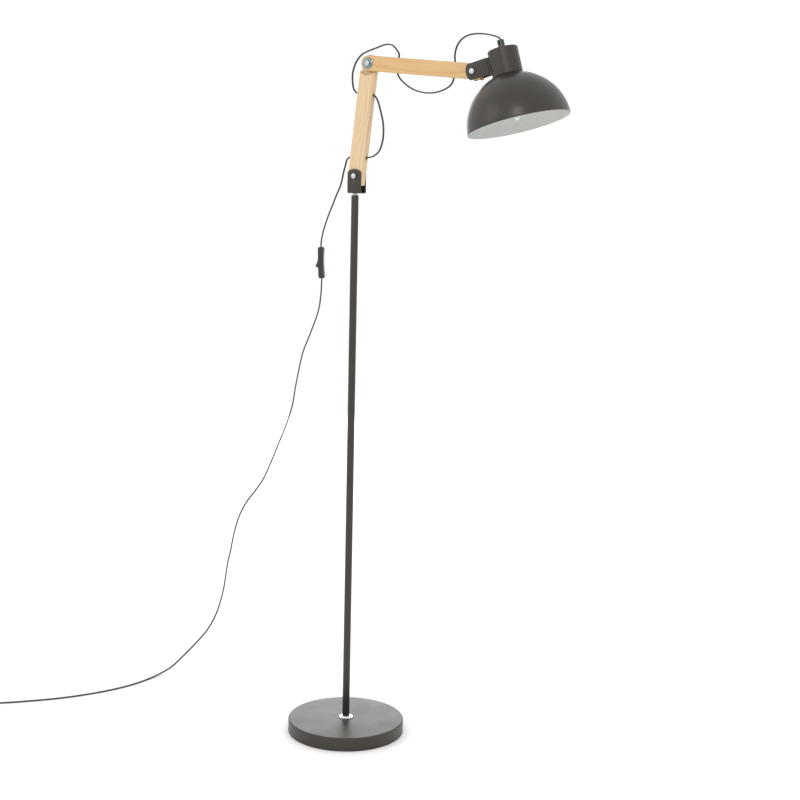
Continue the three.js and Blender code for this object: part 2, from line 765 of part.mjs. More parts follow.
function rocker() {
  const outline = new THREE.Shape();
  outline.moveTo(1.1, -4);
  outline.lineTo(1.1, 4);
  outline.lineTo(-1.5, 10.4);
  outline.lineTo(-2.8, 10.6);
  outline.quadraticCurveTo(-3.6, 2, -7.6, -5);
  outline.quadraticCurveTo(-8.4, -6.6, -7.2, -7.6);
  outline.lineTo(-2.8, -11.4);
  outline.lineTo(-1.2, -10.6);
  return throughDepth(outline, ROCKER.halfWidth, 5);
}

place(rockerPivot, "switch_rocker", rocker(), blackPlastic);

const switchTop = [-81.7, 0, 1046.8];
const switchFoot = [-78.9, 0, 980.2];
const supplyTop = [
  lowerHole(FAR_HOLE.lower + CORD_LEAN, -FACE.lower - 3 * GAP),
  [-15.8, 0, 1232.6],
  [-19.7, 0, 1229.7],
  [-22.2, 0, 1225.2],
  [-24.4, 0, 1217],
  [-26.9, 0, 1208.8],
  [-29.3, 0, 1200.5],
  [-31.5, 0, 1190],
  [-33.8, 0, 1181.3],
  [-36.6, 0, 1173],
  [-40.4, 0, 1164.9],
  [-44.6, 0, 1156.6],
  [-55.5, 0, 1132],
  [-65.4, 0, 1110],
  [-75, 0, 1084],
  [-80.6, 0, 1062],
  switchTop,
];
place(lamp, "cord_to_switch", cordAlong(supplyTop, 26), cordSheath);

const FLOOR_CORD = CORD.thickness / 2 + GAP;
const supply = [
  switchFoot,
  [-79, 0, 966],
  [-82, 3, 948],
  [-92, 10, 912],
  [-118, 18, 858],
  [-140, 25, 817],
  [-157, 35, 775],
  [-173, 46, 733],
  [-188, 57, 690],
  [-209, 66, 646],
  [-233, 74, 602],
  [-258, 82, 557],
  [-284, 88, 511],
  [-309, 92, 479],
  [-336, 94, 447],
  [-357, 98, 415],
  [-373, 104, 383],
  [-387, 112, 351],
  [-400, 121, 318],
  [-414, 129, 285],
  [-426, 138, 252],
  [-438, 147, 218],
  [-452, 155, 184],
  [-473, 160, 136],
  [-496, 156, 95],
  [-519, 141, 62],
  [-537, 116, 34],
  [-549, 86, 13],
  [-556, 54, 5],
  [-560, 12, 2.3],
  [-568, -40, FLOOR_CORD],
  [-586, -94, FLOOR_CORD],
  [-613, -147, FLOOR_CORD],
  [-649, -200, FLOOR_CORD],
  [-693, -250, FLOOR_CORD],
  [-736, -292, FLOOR_CORD],
  [-770, -320, FLOOR_CORD],
];
const SUPPLY_STEPS = 78;
place(lamp, "cord_supply", cordAlong(supply, SUPPLY_STEPS, levelTurn(supply, SUPPLY_STEPS)), cordSheath);

// Coil: the spare cord, wound flat on the floor beside the end of the supply cord and tied.
const COIL_FOOT = 1.3;
const heading = new THREE.Vector2(-34, -28).normalize();
const sideways = new THREE.Vector2(heading.y, -heading.x);
const coilOuter = COIL.radius + COIL.half;
const tangent = COIL.radius + COIL.half / 2;
const lead = 18.6; // from where the straight cord stops to the point where it would meet the turns
const coilAt = new THREE.Vector2(-770, -320)
  .addScaledVector(heading, lead)
  .addScaledVector(sideways, tangent);
const coil = carrier(lamp, [coilAt.x, coilAt.y, COIL_FOOT + COIL.half], [0, 0, heading.angle()]);

function coilRing() {
  const { radius, half } = COIL;
  const chamfer = 1.6;
  const corners = [
    [radius - half, chamfer - half],
    [radius - half + chamfer, -half],
    [radius + half - chamfer, -half],
    [radius + half, chamfer - half],
    [radius + half, half - chamfer],
    [radius + half - chamfer, half],
    [radius - half + chamfer, half],
    [radius - half, half - chamfer],
  ];
  return revolve([...corners, corners[0]], 28);
}

function coilTie() {
  const { radius, half } = COIL;
  const [inner, outer, width] = [half + 0.4, half + 1.2, 3];
  return cut(
    box([-width, radius - outer, -outer], [width, radius + outer, outer]),
    box([-width - 1, radius - inner, -inner], [width + 1, radius + inner, inner]),
  );
}

place(coil, "cord_coil", coilRing(), cordSheath);
place(coil, "coil_tie", coilTie(), blackPlastic);

// Plug on a short tail that leaves the coil on its far side. In this group +X points along the tail.
const PLUG = { height: 6.9, relief: 26, length: 34, halfWidth: 13, halfHeight: 6.6 };
const tailTurn = heading.angle() - Math.PI / 2;
const tailStart = coilAt.clone().addScaledVector(heading, tangent).addScaledVector(sideways, lead);
const tail = carrier(lamp, [tailStart.x, tailStart.y, PLUG.height], [0, 0, tailTurn]);
const TAIL_LENGTH = 22;
place(tail, "cord_tail", cordAlong([[0, 0, 0], [TAIL_LENGTH / 2, 0, 0], [TAIL_LENGTH, 0, 0]], 4), cordSheath);
const RELIEF_FOOT = TAIL_LENGTH + GAP;
const PLUG_FOOT = RELIEF_FOOT + PLUG.relief + GAP;
place(
  tail,
  "plug_relief",
  toOutward(
    revolve([[0, RELIEF_FOOT], [3, RELIEF_FOOT], [4.8, PLUG_FOOT - GAP], [0, PLUG_FOOT - GAP]], 20),
  ),
  blackPlastic,
);

function plugBody() {
  const { length, halfWidth, halfHeight } = PLUG;
  const plan = new THREE.Shape();
  plan.moveTo(0, -6);
  plan.quadraticCurveTo(10, -6.5, 18, 1 - halfWidth);
  plan.quadraticCurveTo(22, -halfWidth, length - 1, -halfWidth);
  plan.lineTo(length, 1 - halfWidth);
  plan.lineTo(length, halfWidth - 1);
  plan.lineTo(length - 1, halfWidth);
  plan.quadraticCurveTo(22, halfWidth, 18, halfWidth - 1);
  plan.quadraticCurveTo(10, 6.5, 0, 6);
  const section = roundedRectangle(halfHeight, halfWidth + 1, 3);
  return common(
    extrude(plan, 2 * halfHeight, 6).translate(0, 0, -halfHeight),
    extrude(section, length, 4).rotateY(Math.PI / 2),
  ).translate(PLUG_FOOT, 0, 0);
}

place(tail, "plug_body", plugBody(), blackPlastic);
const PIN_FOOT = PLUG_FOOT + PLUG.length + GAP;
for (const [name, side] of [["left", 9.3], ["right", -9.3]])
  place(
    tail,
    `plug_pin_${name}`,
    toOutward(rod(2, PIN_FOOT, PIN_FOOT + 18.5, 16)).translate(0, side, 0),
    brass,
  );

export default lamp;
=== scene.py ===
"""Adjustable arm floor lamp: the looks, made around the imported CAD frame.

Metres, +Z up, the arms reach out along +X. The sizes of turned, bent and cut pieces are in millimetres,
in the piece's own frame, and built() turns them into metres.
"""

import json
import math

import bmesh
import bpy
import numpy as np
from mathutils import Matrix, Vector
from mathutils.geometry import tessellate_polygon


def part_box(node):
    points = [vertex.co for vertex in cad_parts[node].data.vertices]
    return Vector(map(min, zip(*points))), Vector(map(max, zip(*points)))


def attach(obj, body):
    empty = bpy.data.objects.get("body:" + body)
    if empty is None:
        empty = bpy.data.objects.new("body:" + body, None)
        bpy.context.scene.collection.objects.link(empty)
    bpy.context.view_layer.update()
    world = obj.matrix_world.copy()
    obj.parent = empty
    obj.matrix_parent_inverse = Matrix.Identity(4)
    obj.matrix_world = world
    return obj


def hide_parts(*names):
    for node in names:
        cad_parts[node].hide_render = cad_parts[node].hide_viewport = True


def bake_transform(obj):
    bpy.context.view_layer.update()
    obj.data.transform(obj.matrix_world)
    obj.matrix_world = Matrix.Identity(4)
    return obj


MM = 0.001
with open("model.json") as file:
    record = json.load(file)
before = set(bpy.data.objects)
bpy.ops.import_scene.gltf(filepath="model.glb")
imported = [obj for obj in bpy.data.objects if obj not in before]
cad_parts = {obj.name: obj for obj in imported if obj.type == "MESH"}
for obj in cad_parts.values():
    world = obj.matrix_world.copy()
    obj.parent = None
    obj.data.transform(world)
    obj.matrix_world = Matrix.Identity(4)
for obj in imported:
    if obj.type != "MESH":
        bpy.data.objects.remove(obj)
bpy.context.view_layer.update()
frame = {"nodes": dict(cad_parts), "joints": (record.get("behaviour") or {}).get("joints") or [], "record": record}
record = frame["record"]
body_of_node = {n: body for body, nodes in record["behaviour"]["bodies"].items() for n in nodes}
slot_of_node = {part["node"]: part["material_slot"] for part in record["subparts"]}
pivots = {joint["name"]: Vector(joint["pos_m"]) for joint in frame["joints"]}

# The frames of the moving parts.
LOWER_PIVOT = pivots["lower_arm_tilt"]
ELBOW = pivots["elbow"]
HEAD_PIVOT = pivots["head_tilt"]
LEAN = math.atan2(ELBOW.x - LOWER_PIVOT.x, ELBOW.z - LOWER_PIVOT.z)
SLOPE = math.atan2(ELBOW.z - HEAD_PIVOT.z, HEAD_PIVOT.x - ELBOW.x)
HEAD_TILT = math.radians(16)
HEAD_AXIS = 66.8  # from the head pivot to the axis of the shade
LOWER_SPAN = (ELBOW - LOWER_PIVOT).length / MM
UPPER_SPAN = (HEAD_PIVOT - ELBOW).length / MM


def shifted(x, y, z):
    return Matrix.Translation(Vector((x, y, z)) * MM)


def turned_about(axis, angle):
    return Matrix.Rotation(angle, 4, axis)


WORLD = Matrix.Identity(4)
FRONT = turned_about("X", math.pi / 2)  # a piece's own +Z to the front of the lamp, along -Y
OUTWARD = turned_about("Y", math.pi / 2)  # a piece's own +Z along +X
LOWER = Matrix.Translation(LOWER_PIVOT)
AT_ELBOW = Matrix.Translation(ELBOW) @ turned_about("Y", LEAN)
UPPER = Matrix.Translation(ELBOW) @ turned_about("Y", SLOPE)
HEAD = Matrix.Translation(HEAD_PIVOT) @ turned_about("Y", -HEAD_TILT)
SHADE_AXIS = HEAD @ shifted(HEAD_AXIS, 0, 0)
SWITCH = (
    Matrix.Translation((-0.0803, 0, 1.0135))
    @ turned_about("Y", math.radians(-2.4))
    @ turned_about("Z", math.radians(25))
)


def placed(name, data, where=WORLD):
    """A new object in the scene, from a mesh, a light or a camera."""
    made = bpy.data.objects.new(name, data)
    made.matrix_world = where
    bpy.context.scene.collection.objects.link(made)
    return made


# Camera and light.
CAMERA_PLACE = (1.5783, -2.5816, 1.1884)
CAMERA_ANGLES = (29.5, 8.61, 1.31)  # heading, pitch and roll, in degrees
LENS = 65.25  # in millimetres, as the sensor's width is
SENSOR = 36


def make_camera():
    heading, pitch, roll = (math.radians(angle) for angle in CAMERA_ANGLES)
    level = Vector((-math.sin(heading), math.cos(heading), 0))
    forward = level * math.cos(pitch) - Vector((0, 0, math.sin(pitch)))
    right = forward.cross(Vector((0, 0, 1))).normalized()
    above = right.cross(forward)
    right, above = (
        right * math.cos(roll) + above * math.sin(roll),
        above * math.cos(roll) - right * math.sin(roll),
    )
    data = bpy.data.cameras.new("camera")
    data.sensor_width = SENSOR
    data.lens = LENS
    axes = Matrix((right, above, -forward)).transposed().to_4x4()
    bpy.context.scene.camera = placed("camera", data, Matrix.Translation(CAMERA_PLACE) @ axes)


def area_light(name, place, target, size, power, seen=True):
    data = bpy.data.lights.new(name, "AREA")
    data.shape = "DISK"
    data.size = size
    data.energy = power
    light = placed(name, data)
    light.location = place
    light.rotation_euler = (Vector(target) - Vector(place)).to_track_quat("-Z", "Y").to_euler()
    light.visible_camera = seen


def make_studio():
    scene = bpy.context.scene
    scene.view_settings.view_transform = "Standard"
    scene.world = bpy.data.worlds.new("studio")
    scene.world.use_nodes = True
    sky = scene.world.node_tree.nodes["Background"]
    sky.inputs["Color"].default_value = (1, 1, 1, 1)
    sky.inputs["Strength"].default_value = 1.06
    area_light("key", (1.15, -2.15, 2.45), (0.3, 0, 1.25), 0.8, 9)
    area_light("fill", (-1.8, -2.4, 2.4), (0, 0, 0.9), 2.0, 10)
    area_light("back", (-1.85, 3.25, 1.5), (0, 0, 0), 3.0, 40, seen=False)


make_camera()
make_studio()


# Cords. A route's points are those of the CAD cords.
FACE = {"lower": 0.0175, "upper": 0.0154}  # from the middle of an arm to the sides that the cord goes through
CORD_WIDTH = 0.005
LOBE = 0.0015  # radius of each of the twin cord's two round wires
LOBE_OFFSET = CORD_WIDTH / 2 - LOBE
NEAR_HOLE = {"lower": 0.0615, "upper": 0.066}
FAR_HOLE = {"lower": 0.1895, "upper": 0.196}
CORD_LEAN = 0.0016  # of the cord to one side of a hole's mouth
ACROSS = Vector((0, 1, 0))


def hole_mouth(direction, along, across):
    dx, dz = direction
    return (ELBOW.x + dx * along - dz * across, 0, ELBOW.z + dz * along + dx * across)


def upper_hole(along, across):
    return hole_mouth((math.cos(SLOPE), -math.sin(SLOPE)), along, across)


def lower_hole(along, across):
    return hole_mouth((-math.sin(LEAN), -math.cos(LEAN)), along, across)


def smooth_path(points, step):
    """Even points along the centripetal Catmull-Rom curve through a route's points."""
    p = np.array([tuple(point) for point in points], float)
    p = np.vstack([2 * p[0] - p[1], p, 2 * p[-1] - p[-2]])
    line = []
    for a, b, c, d in zip(p, p[1:], p[2:], p[3:]):
        ab, bc, cd = (np.linalg.norm(y - x) ** 0.5 for x, y in ((a, b), (b, c), (c, d)))
        leaving = ((b - a) / ab - (c - a) / (ab + bc) + (c - b) / bc) * bc
        arriving = ((c - b) / bc - (d - b) / (bc + cd) + (d - c) / cd) * bc
        u = np.linspace(0, 1, max(3, math.ceil(bc**2 / step)), endpoint=False)[:, None]
        line.append(
            b + leaving * u + (3 * (c - b) - 2 * leaving - arriving) * u**2
            + (2 * (b - c) + leaving + arriving) * u**3
        )
    return np.vstack([*line, p[-2:-1]])


def unit(vectors):
    return vectors / np.linalg.norm(vectors, axis=-1, keepdims=True)


def lengths_along(path):
    return np.concatenate([[0], np.cumsum(np.linalg.norm(np.diff(path, axis=0), axis=1))])


def cord_sides(path, wide):
    """The direction of the cord's wide side all along its path, with the twist spread evenly between the
    keys of wide, which are (length along the path, direction) pairs."""
    ahead = unit(np.gradient(path, axis=0))
    along = lengths_along(path)
    side = np.array(wide[0][1], float)
    sides = []
    for t in ahead:
        side = unit(side - (side @ t) * t)
        sides.append(side)
    sides = np.array(sides)
    twists = []
    for length, direction in wide:
        i = int(np.searchsorted(along, length).clip(0, len(path) - 1))
        target = np.array(direction, float)
        target = unit(target - (target @ ahead[i]) * ahead[i])
        angle = math.atan2(np.cross(sides[i], target) @ ahead[i], sides[i] @ target)
        before = twists[-1] if twists else 0.0
        twists.append(before + (angle - before + math.pi / 2) % math.pi - math.pi / 2)
    twist = np.interp(along, [length for length, _ in wide], twists)[:, None]
    return ahead, sides * np.cos(twist) + np.cross(ahead, sides) * np.sin(twist)


def twin_cord(name, path, wide):
    """A flat twin cord: two round wires side by side in one sheath, as a closed tube along the path."""
    around = 20
    ahead, sides = cord_sides(path, wide)
    third = np.cross(ahead, sides)
    theta = np.arange(around) * 2 * math.pi / around
    reach = LOBE_OFFSET * np.abs(np.cos(theta)) + np.sqrt(LOBE**2 - (LOBE_OFFSET * np.sin(theta)) ** 2)
    across, over = reach * np.cos(theta), reach * np.sin(theta)
    points = path[:, None] + across[:, None] * sides[:, None] + over[:, None] * third[:, None]
    rings = len(path)

    def corner_at(i, k):
        return i * around + k % around

    faces = [
        (corner_at(i, k), corner_at(i, k + 1), corner_at(i + 1, k + 1), corner_at(i + 1, k))
        for i in range(rings - 1)
        for k in range(around)
    ]
    faces.append(tuple(range(around))[::-1])
    faces.append(tuple((rings - 1) * around + k for k in range(around)))
    mesh = bpy.data.meshes.new(name)
    mesh.from_pydata(points.reshape(-1, 3).tolist(), [], faces)
    along = lengths_along(path)
    layer = mesh.uv_layers.new(name="along")
    for face in mesh.polygons:
        ring, k = divmod(face.index, around)
        for corner, loop in enumerate(face.loop_indices):
            if ring < rings - 1:
                step, turn = ((0, 0), (0, 1), (1, 1), (1, 0))[corner]
                layer.data[loop].uv = (along[ring + step], (k + turn) / around * 0.015)
    mesh.shade_smooth()
    return placed(name, mesh)


INSIDE = 0.012  # how far a cord's end goes on into a hole that it shares with the next stretch
GRIP_TOP = 42  # above the head pivot's level, along the shade's axis


def grip_point(up):
    return SHADE_AXIS @ Vector((0, 0, up * MM))


def in_plane(*points):
    """Points of the lamp's own plane, from their x and z."""
    return [(x, 0, z) for x, z in points]


head_route = [
    grip_point(GRIP_TOP - 5),
    grip_point(GRIP_TOP + 2),
    *in_plane(
        (0.3164, 1.4656), (0.3093, 1.468), (0.300, 1.4703), (0.288, 1.4723), (0.275, 1.4734), (0.262, 1.4729),
        (0.250, 1.4704), (0.2395, 1.465), (0.2318, 1.4574), (0.2266, 1.4475), (0.2241, 1.437),
        (0.2238, 1.4285),
    ),
    upper_hole(FAR_HOLE["upper"] - CORD_LEAN, FACE["upper"]),
    upper_hole(FAR_HOLE["upper"] - 0.0015, INSIDE),
]
upper_route = [
    upper_hole(FAR_HOLE["upper"] - 0.0015, INSIDE - 0.0005),
    upper_hole(FAR_HOLE["upper"] - 0.0013, 0),
    upper_hole(FAR_HOLE["upper"] - 0.001, -FACE["upper"]),
    *in_plane(
        (0.2195, 1.3804), (0.215, 1.3751), (0.2026, 1.368), (0.189, 1.3636), (0.176, 1.3617), (0.162, 1.3617),
        (0.1485, 1.3637), (0.1347, 1.3678), (0.1208, 1.3746), (0.1067, 1.3849), (0.1005, 1.391),
    ),
    upper_hole(NEAR_HOLE["upper"] + 0.0008, -FACE["upper"]),
    upper_hole(NEAR_HOLE["upper"], 0),
    upper_hole(NEAR_HOLE["upper"], INSIDE - 0.0005),
]
elbow_route = [
    upper_hole(NEAR_HOLE["upper"], INSIDE),
    upper_hole(NEAR_HOLE["upper"], FACE["upper"] + 0.007),
    *in_plane(
        (0.0905, 1.4485), (0.082, 1.456), (0.0712, 1.4582), (0.0594, 1.4566), (0.0445, 1.4518),
        (0.0268, 1.4466), (0.0117, 1.4402), (0.0003, 1.4296), (-0.0075, 1.4148), (-0.011, 1.3996),
        (-0.0105, 1.3842), (-0.0068, 1.3695),
    ),
    lower_hole(NEAR_HOLE["lower"], -FACE["lower"] - 0.005),
    lower_hole(NEAR_HOLE["lower"], -INSIDE),
]
lower_route = [
    lower_hole(NEAR_HOLE["lower"], 0.0005 - INSIDE),
    lower_hole(NEAR_HOLE["lower"], 0),
    lower_hole(NEAR_HOLE["lower"], FACE["lower"]),
    *in_plane(
        (0.0486, 1.3496), (0.0572, 1.3265), (0.0631, 1.3048), (0.065, 1.2845), (0.0626, 1.264),
        (0.0555, 1.2465), (0.042, 1.236),
    ),
    lower_hole(FAR_HOLE["lower"] - CORD_LEAN, FACE["lower"]),
    lower_hole(FAR_HOLE["lower"], 0),
    lower_hole(FAR_HOLE["lower"] + 0.0012, 0.0005 - INSIDE),
]
switch_route = [
    lower_hole(FAR_HOLE["lower"] + 0.0012, -INSIDE),
    lower_hole(FAR_HOLE["lower"] + CORD_LEAN, -FACE["lower"]),
    *in_plane(
        (-0.0158, 1.2326), (-0.0197, 1.2297), (-0.0222, 1.2252), (-0.0244, 1.217), (-0.0269, 1.2088),
        (-0.0293, 1.2005), (-0.0315, 1.190), (-0.0338, 1.1813), (-0.0366, 1.173), (-0.0404, 1.1649),
        (-0.0446, 1.1566), (-0.0555, 1.132), (-0.0654, 1.110), (-0.075, 1.084), (-0.0806, 1.062),
        (-0.0817, 1.0468), (-0.0813, 1.042),
    ),
]
FLOOR_CORD = 0.0018  # height of the cord's middle where it lies flat on the floor
supply_route = [
    (-0.0791, 0, 0.984), (-0.0789, 0, 0.9802), (-0.079, 0, 0.966), (-0.082, 0.003, 0.948),
    (-0.092, 0.010, 0.912), (-0.118, 0.018, 0.858), (-0.140, 0.025, 0.817), (-0.157, 0.035, 0.775),
    (-0.173, 0.046, 0.733), (-0.188, 0.057, 0.690), (-0.209, 0.066, 0.646), (-0.233, 0.074, 0.602),
    (-0.258, 0.082, 0.557), (-0.284, 0.088, 0.511), (-0.309, 0.092, 0.479), (-0.336, 0.094, 0.447),
    (-0.357, 0.098, 0.415), (-0.373, 0.104, 0.383), (-0.387, 0.112, 0.351), (-0.400, 0.121, 0.318),
    (-0.414, 0.129, 0.285), (-0.426, 0.138, 0.252), (-0.438, 0.147, 0.218), (-0.452, 0.155, 0.184),
    (-0.473, 0.160, 0.136), (-0.496, 0.156, 0.095), (-0.519, 0.141, 0.062), (-0.537, 0.116, 0.034),
    (-0.549, 0.086, 0.013), (-0.556, 0.054, 0.005), (-0.560, 0.012, 0.0023), (-0.568, -0.040, FLOOR_CORD),
    (-0.586, -0.094, FLOOR_CORD), (-0.613, -0.147, FLOOR_CORD), (-0.649, -0.200, FLOOR_CORD),
    (-0.693, -0.250, FLOOR_CORD), (-0.736, -0.292, FLOOR_CORD), (-0.770, -0.320, FLOOR_CORD),
]

# The coil: 2 by 2 turns of spare cord on edge, clockwise from above, with the plug's tail on top.
TURNS = 4
COIL_MIDDLE = 0.029
OUTER_TURN = COIL_MIDDLE + CORD_WIDTH / 2
INNER_TURN = COIL_MIDDLE - CORD_WIDTH / 2
BOTTOM_LAYER = 0.0028
TOP_LAYER = BOTTOM_LAYER + CORD_WIDTH
LEAD = 0.0186  # straight stretch before and after the turns
TAIL_HEIGHT = 0.0069
TAIL_LENGTH = 0.022
COIL_ENTRY = Vector((-0.770, -0.320, 0))
HEADING = Vector((-34, -28, 0)).normalized()
SIDEWAYS = Vector((HEADING.y, -HEADING.x, 0))
COIL_AT = COIL_ENTRY + HEADING * LEAD + SIDEWAYS * OUTER_TURN


def ease(value, low, high):
    share = min(1.0, max(0.0, (value - low) / (high - low)))
    return share * share * (3 - 2 * share)


def coil_route():
    points = []
    steps = 24
    for step in range(round((TURNS + 0.25) * steps) + 1):
        turn = step / steps
        inward = ease(turn, 0.8, 0.98) - ease(turn, 2.82, 3.0)
        raised = ease(turn, 1.82, 2.0)
        radius = OUTER_TURN + (INNER_TURN - OUTER_TURN) * inward
        height = BOTTOM_LAYER + CORD_WIDTH * raised
        height += (TAIL_HEIGHT - TOP_LAYER) * ease(turn, TURNS, TURNS + 0.25)
        angle = turn * 2 * math.pi
        spoke = HEADING * math.sin(angle) - SIDEWAYS * math.cos(angle)
        points.append(COIL_AT + spoke * radius + Vector((0, 0, height)))
    return points


TAIL_START = COIL_AT + HEADING * OUTER_TURN + SIDEWAYS * LEAD + Vector((0, 0, TAIL_HEIGHT))
TAIL_END = TAIL_START + SIDEWAYS * TAIL_LENGTH
tail_route = [TAIL_START, TAIL_START + SIDEWAYS * TAIL_LENGTH / 2, TAIL_END + SIDEWAYS * 0.003]
switch_width = (SWITCH.to_3x3() @ ACROSS).normalized()
UP = Vector((0, 0, 1))


CORD_STEP = 0.0016
cords = []


def lay_cord(name, path, wide, *nodes):
    """A stretch of the cord in its own look, which stands for CAD nodes. wide is as in cord_sides()."""
    cord = twin_cord(name, path, wide)
    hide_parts(*nodes)
    cords.append(cord)
    return cord


def make_cord(name, route, node, last_side=ACROSS):
    """A stretch whose wide side is across the lamp's plane at its start, and has last_side at its end."""
    path = smooth_path(route, CORD_STEP)
    return lay_cord(name, path, [(0, ACROSS), (lengths_along(path)[-1], last_side)], node), path


head_cord, head_path = make_cord("head_flex", head_route, "cord_head")
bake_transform(head_cord)

upper_cord, upper_path = make_cord("upper_flex", upper_route, "cord_upper_arm")
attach(upper_cord, "upper_arm")

elbow_cord, elbow_path = make_cord("elbow_flex", elbow_route, "cord_elbow")
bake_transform(elbow_cord)

lower_cord, lower_path = make_cord("lower_flex", lower_route, "cord_lower_arm")
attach(lower_cord, "lower_arm")

feed_cord, feed_path = make_cord("feed_flex", switch_route, "cord_to_switch", switch_width)
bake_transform(feed_cord)

SUPPLY_STEP = 0.0026
supply_path = smooth_path([*supply_route, *coil_route(), *tail_route], SUPPLY_STEP)
supply_along = lengths_along(supply_path)
touchdown = supply_along[int(np.argmax(supply_path[:, 2] < FLOOR_CORD + 0.001))]
laid = supply_along[int(np.argmin(np.linalg.norm(supply_path - np.array(COIL_ENTRY), axis=1)))]
wound = supply_along[int(np.argmin(np.linalg.norm(supply_path - np.array(TAIL_START), axis=1)))]
supply_keys = [(0, switch_width), (touchdown, Vector((1, 0, 0))), (laid, SIDEWAYS), (laid + LEAD, UP),
               (wound, UP), (supply_along[-1], HEADING)]
supply_cord = lay_cord("supply_flex", supply_path, supply_keys, "cord_supply", "cord_coil", "cord_tail")
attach(supply_cord, "stand")


# Solids: points and faces in millimetres, in the piece's own frame.
def turned(outline, sides=96):
    """A solid turned about Z from (radius, height) points, or functions of the angle that give them."""
    points, rings = [], []
    for corner in outline:
        if not callable(corner) and corner[0] == 0:
            rings.append([len(points)] * sides)
            points.append((0, 0, corner[1]))
            continue
        rings.append(list(range(len(points), len(points) + sides)))
        for side in range(sides):
            angle = side * 2 * math.pi / sides
            radius, height = corner(angle) if callable(corner) else corner
            points.append((radius * math.cos(angle), radius * math.sin(angle), height))
    open_ended = len(set(rings[0])) == 1
    pairs = zip(rings, rings[1:]) if open_ended else zip(rings, rings[1:] + rings[:1])
    faces = []
    for low, high in pairs:
        for side in range(sides):
            after = (side + 1) % sides
            loop = [low[side], low[after], high[after], high[side]]
            faces.append(tuple(dict.fromkeys(loop)))
    return points, faces


def lofted(sections):
    """A solid through closed sections with as many points each, with flat ends."""
    count = len(sections[0])
    points = [point for section in sections for point in section]
    faces = [tuple(range(count))[::-1], tuple(range(len(points) - count, len(points)))]
    for i in range(len(sections) - 1):
        for k in range(count):
            after = (k + 1) % count
            faces.append((i * count + k, i * count + after, (i + 1) * count + after, (i + 1) * count + k))
    return points, faces


def upright(outline, low, high):
    """A prism along Z from an outline in X and Y."""
    return lofted([[(x, y, z) for x, y in outline] for z in (low, high)])


def through(outline, half):
    """A prism along Y, half to each side, from an outline in X and Z."""
    return lofted([[(x, y, z) for x, z in outline] for y in (-half, half)])


def rounded(corners, steps=6):
    """A closed outline from (x, y, radius) corners, each of which becomes an arc."""
    outline = []
    for i, (x, y, radius) in enumerate(corners):
        here = Vector((x, y))
        if not radius:
            outline.append((x, y))
            continue
        before = (Vector(corners[i - 1][:2]) - here).normalized()
        after = (Vector(corners[(i + 1) % len(corners)][:2]) - here).normalized()
        half = before.angle(after) / 2
        centre = here + (before + after).normalized() * radius / math.sin(half)
        first = here + before * radius / math.tan(half) - centre
        sweep = math.pi - 2 * half
        if before.x * after.y - before.y * after.x > 0:
            sweep = -sweep
        for step in range(steps + 1):
            angle = sweep * step / steps
            c, s = math.cos(angle), math.sin(angle)
            outline.append((centre.x + first.x * c - first.y * s, centre.y + first.x * s + first.y * c))
    return outline


def rectangle(a, b, radius=0, steps=6):
    """An outline with half sides a and b, and rounded corners."""
    return rounded([(a, b, radius), (-a, b, radius), (-a, -b, radius), (a, -b, radius)], steps)


def circle(radius, sides=48):
    return [(radius * math.cos(a), radius * math.sin(a)) for a in np.arange(sides) * 2 * math.pi / sides]


def hexagonal(flats, low, high, bore=0.0):
    """A hexagon nut or bolt head with its corners turned off at the top."""
    chamfer = flats * 0.47
    lip = 0.35

    def radius(angle):
        return flats / 2 / math.cos((angle + math.pi / 6) % (math.pi / 3) - math.pi / 6)

    def upper(angle):
        return radius(angle), high - (radius(angle) - chamfer) * math.tan(math.radians(28))

    def lower(angle):
        return radius(angle), low

    if bore:
        middle = [(bore + lip, high), (bore, high - lip), (bore, low)]
        return turned([lower, upper, (chamfer, high), *middle], 72)
    return turned([(0, low), lower, upper, (chamfer, high), (0, high)], 72)


def thread(radius, low, high, pitch=1.0):
    """The outline of a threaded stretch, as grooves."""
    outline = []
    for turn in range(round((high - low) / pitch)):
        foot = low + turn * pitch
        outline += [
            (radius - 0.45, foot + pitch * 0.1), (radius, foot + pitch * 0.45), (radius, foot + pitch * 0.65),
        ]
    return outline


# Pieces.
def faced_outward(mesh):
    work = bmesh.new()
    work.from_mesh(mesh)
    bmesh.ops.recalc_face_normals(work, faces=work.faces)
    work.to_mesh(mesh)
    work.free()


def smoothed(mesh, sharp=35):
    mesh.shade_smooth()
    mesh.set_sharp_from_angle(angle=math.radians(sharp))


def add_bevel(piece, width, segments, limit):
    """Rounds the edges at which faces turn by more than limit degrees."""
    bevel = piece.modifiers.new("edge", "BEVEL")
    bevel.width = width
    bevel.segments = segments
    bevel.limit_method = "ANGLE"
    bevel.angle_limit = math.radians(limit)


def applied(piece):
    """Puts a piece's modifiers into its mesh, and returns that."""
    graph = bpy.context.evaluated_depsgraph_get()
    mesh = bpy.data.meshes.new_from_object(piece.evaluated_get(graph))
    piece.modifiers.clear()
    piece.data = mesh
    return mesh


def built(name, solids, where=WORLD, sharp=35):
    """One object from solids in millimetres, or from (solid, number of its look) pairs."""
    mesh = bpy.data.meshes.new(name)
    points, faces, looks = [], [], []
    for item in solids:
        (own_points, own_faces), look = item if isinstance(item[1], int) else (item, 0)
        faces += [tuple(len(points) + k for k in face) for face in own_faces]
        points += [tuple(MM * value for value in point) for point in own_points]
        looks += [look] * len(own_faces)
    mesh.from_pydata(points, [], faces)
    mesh.polygons.foreach_set("material_index", looks)
    faced_outward(mesh)
    smoothed(mesh, sharp)
    return placed(name, mesh, where)


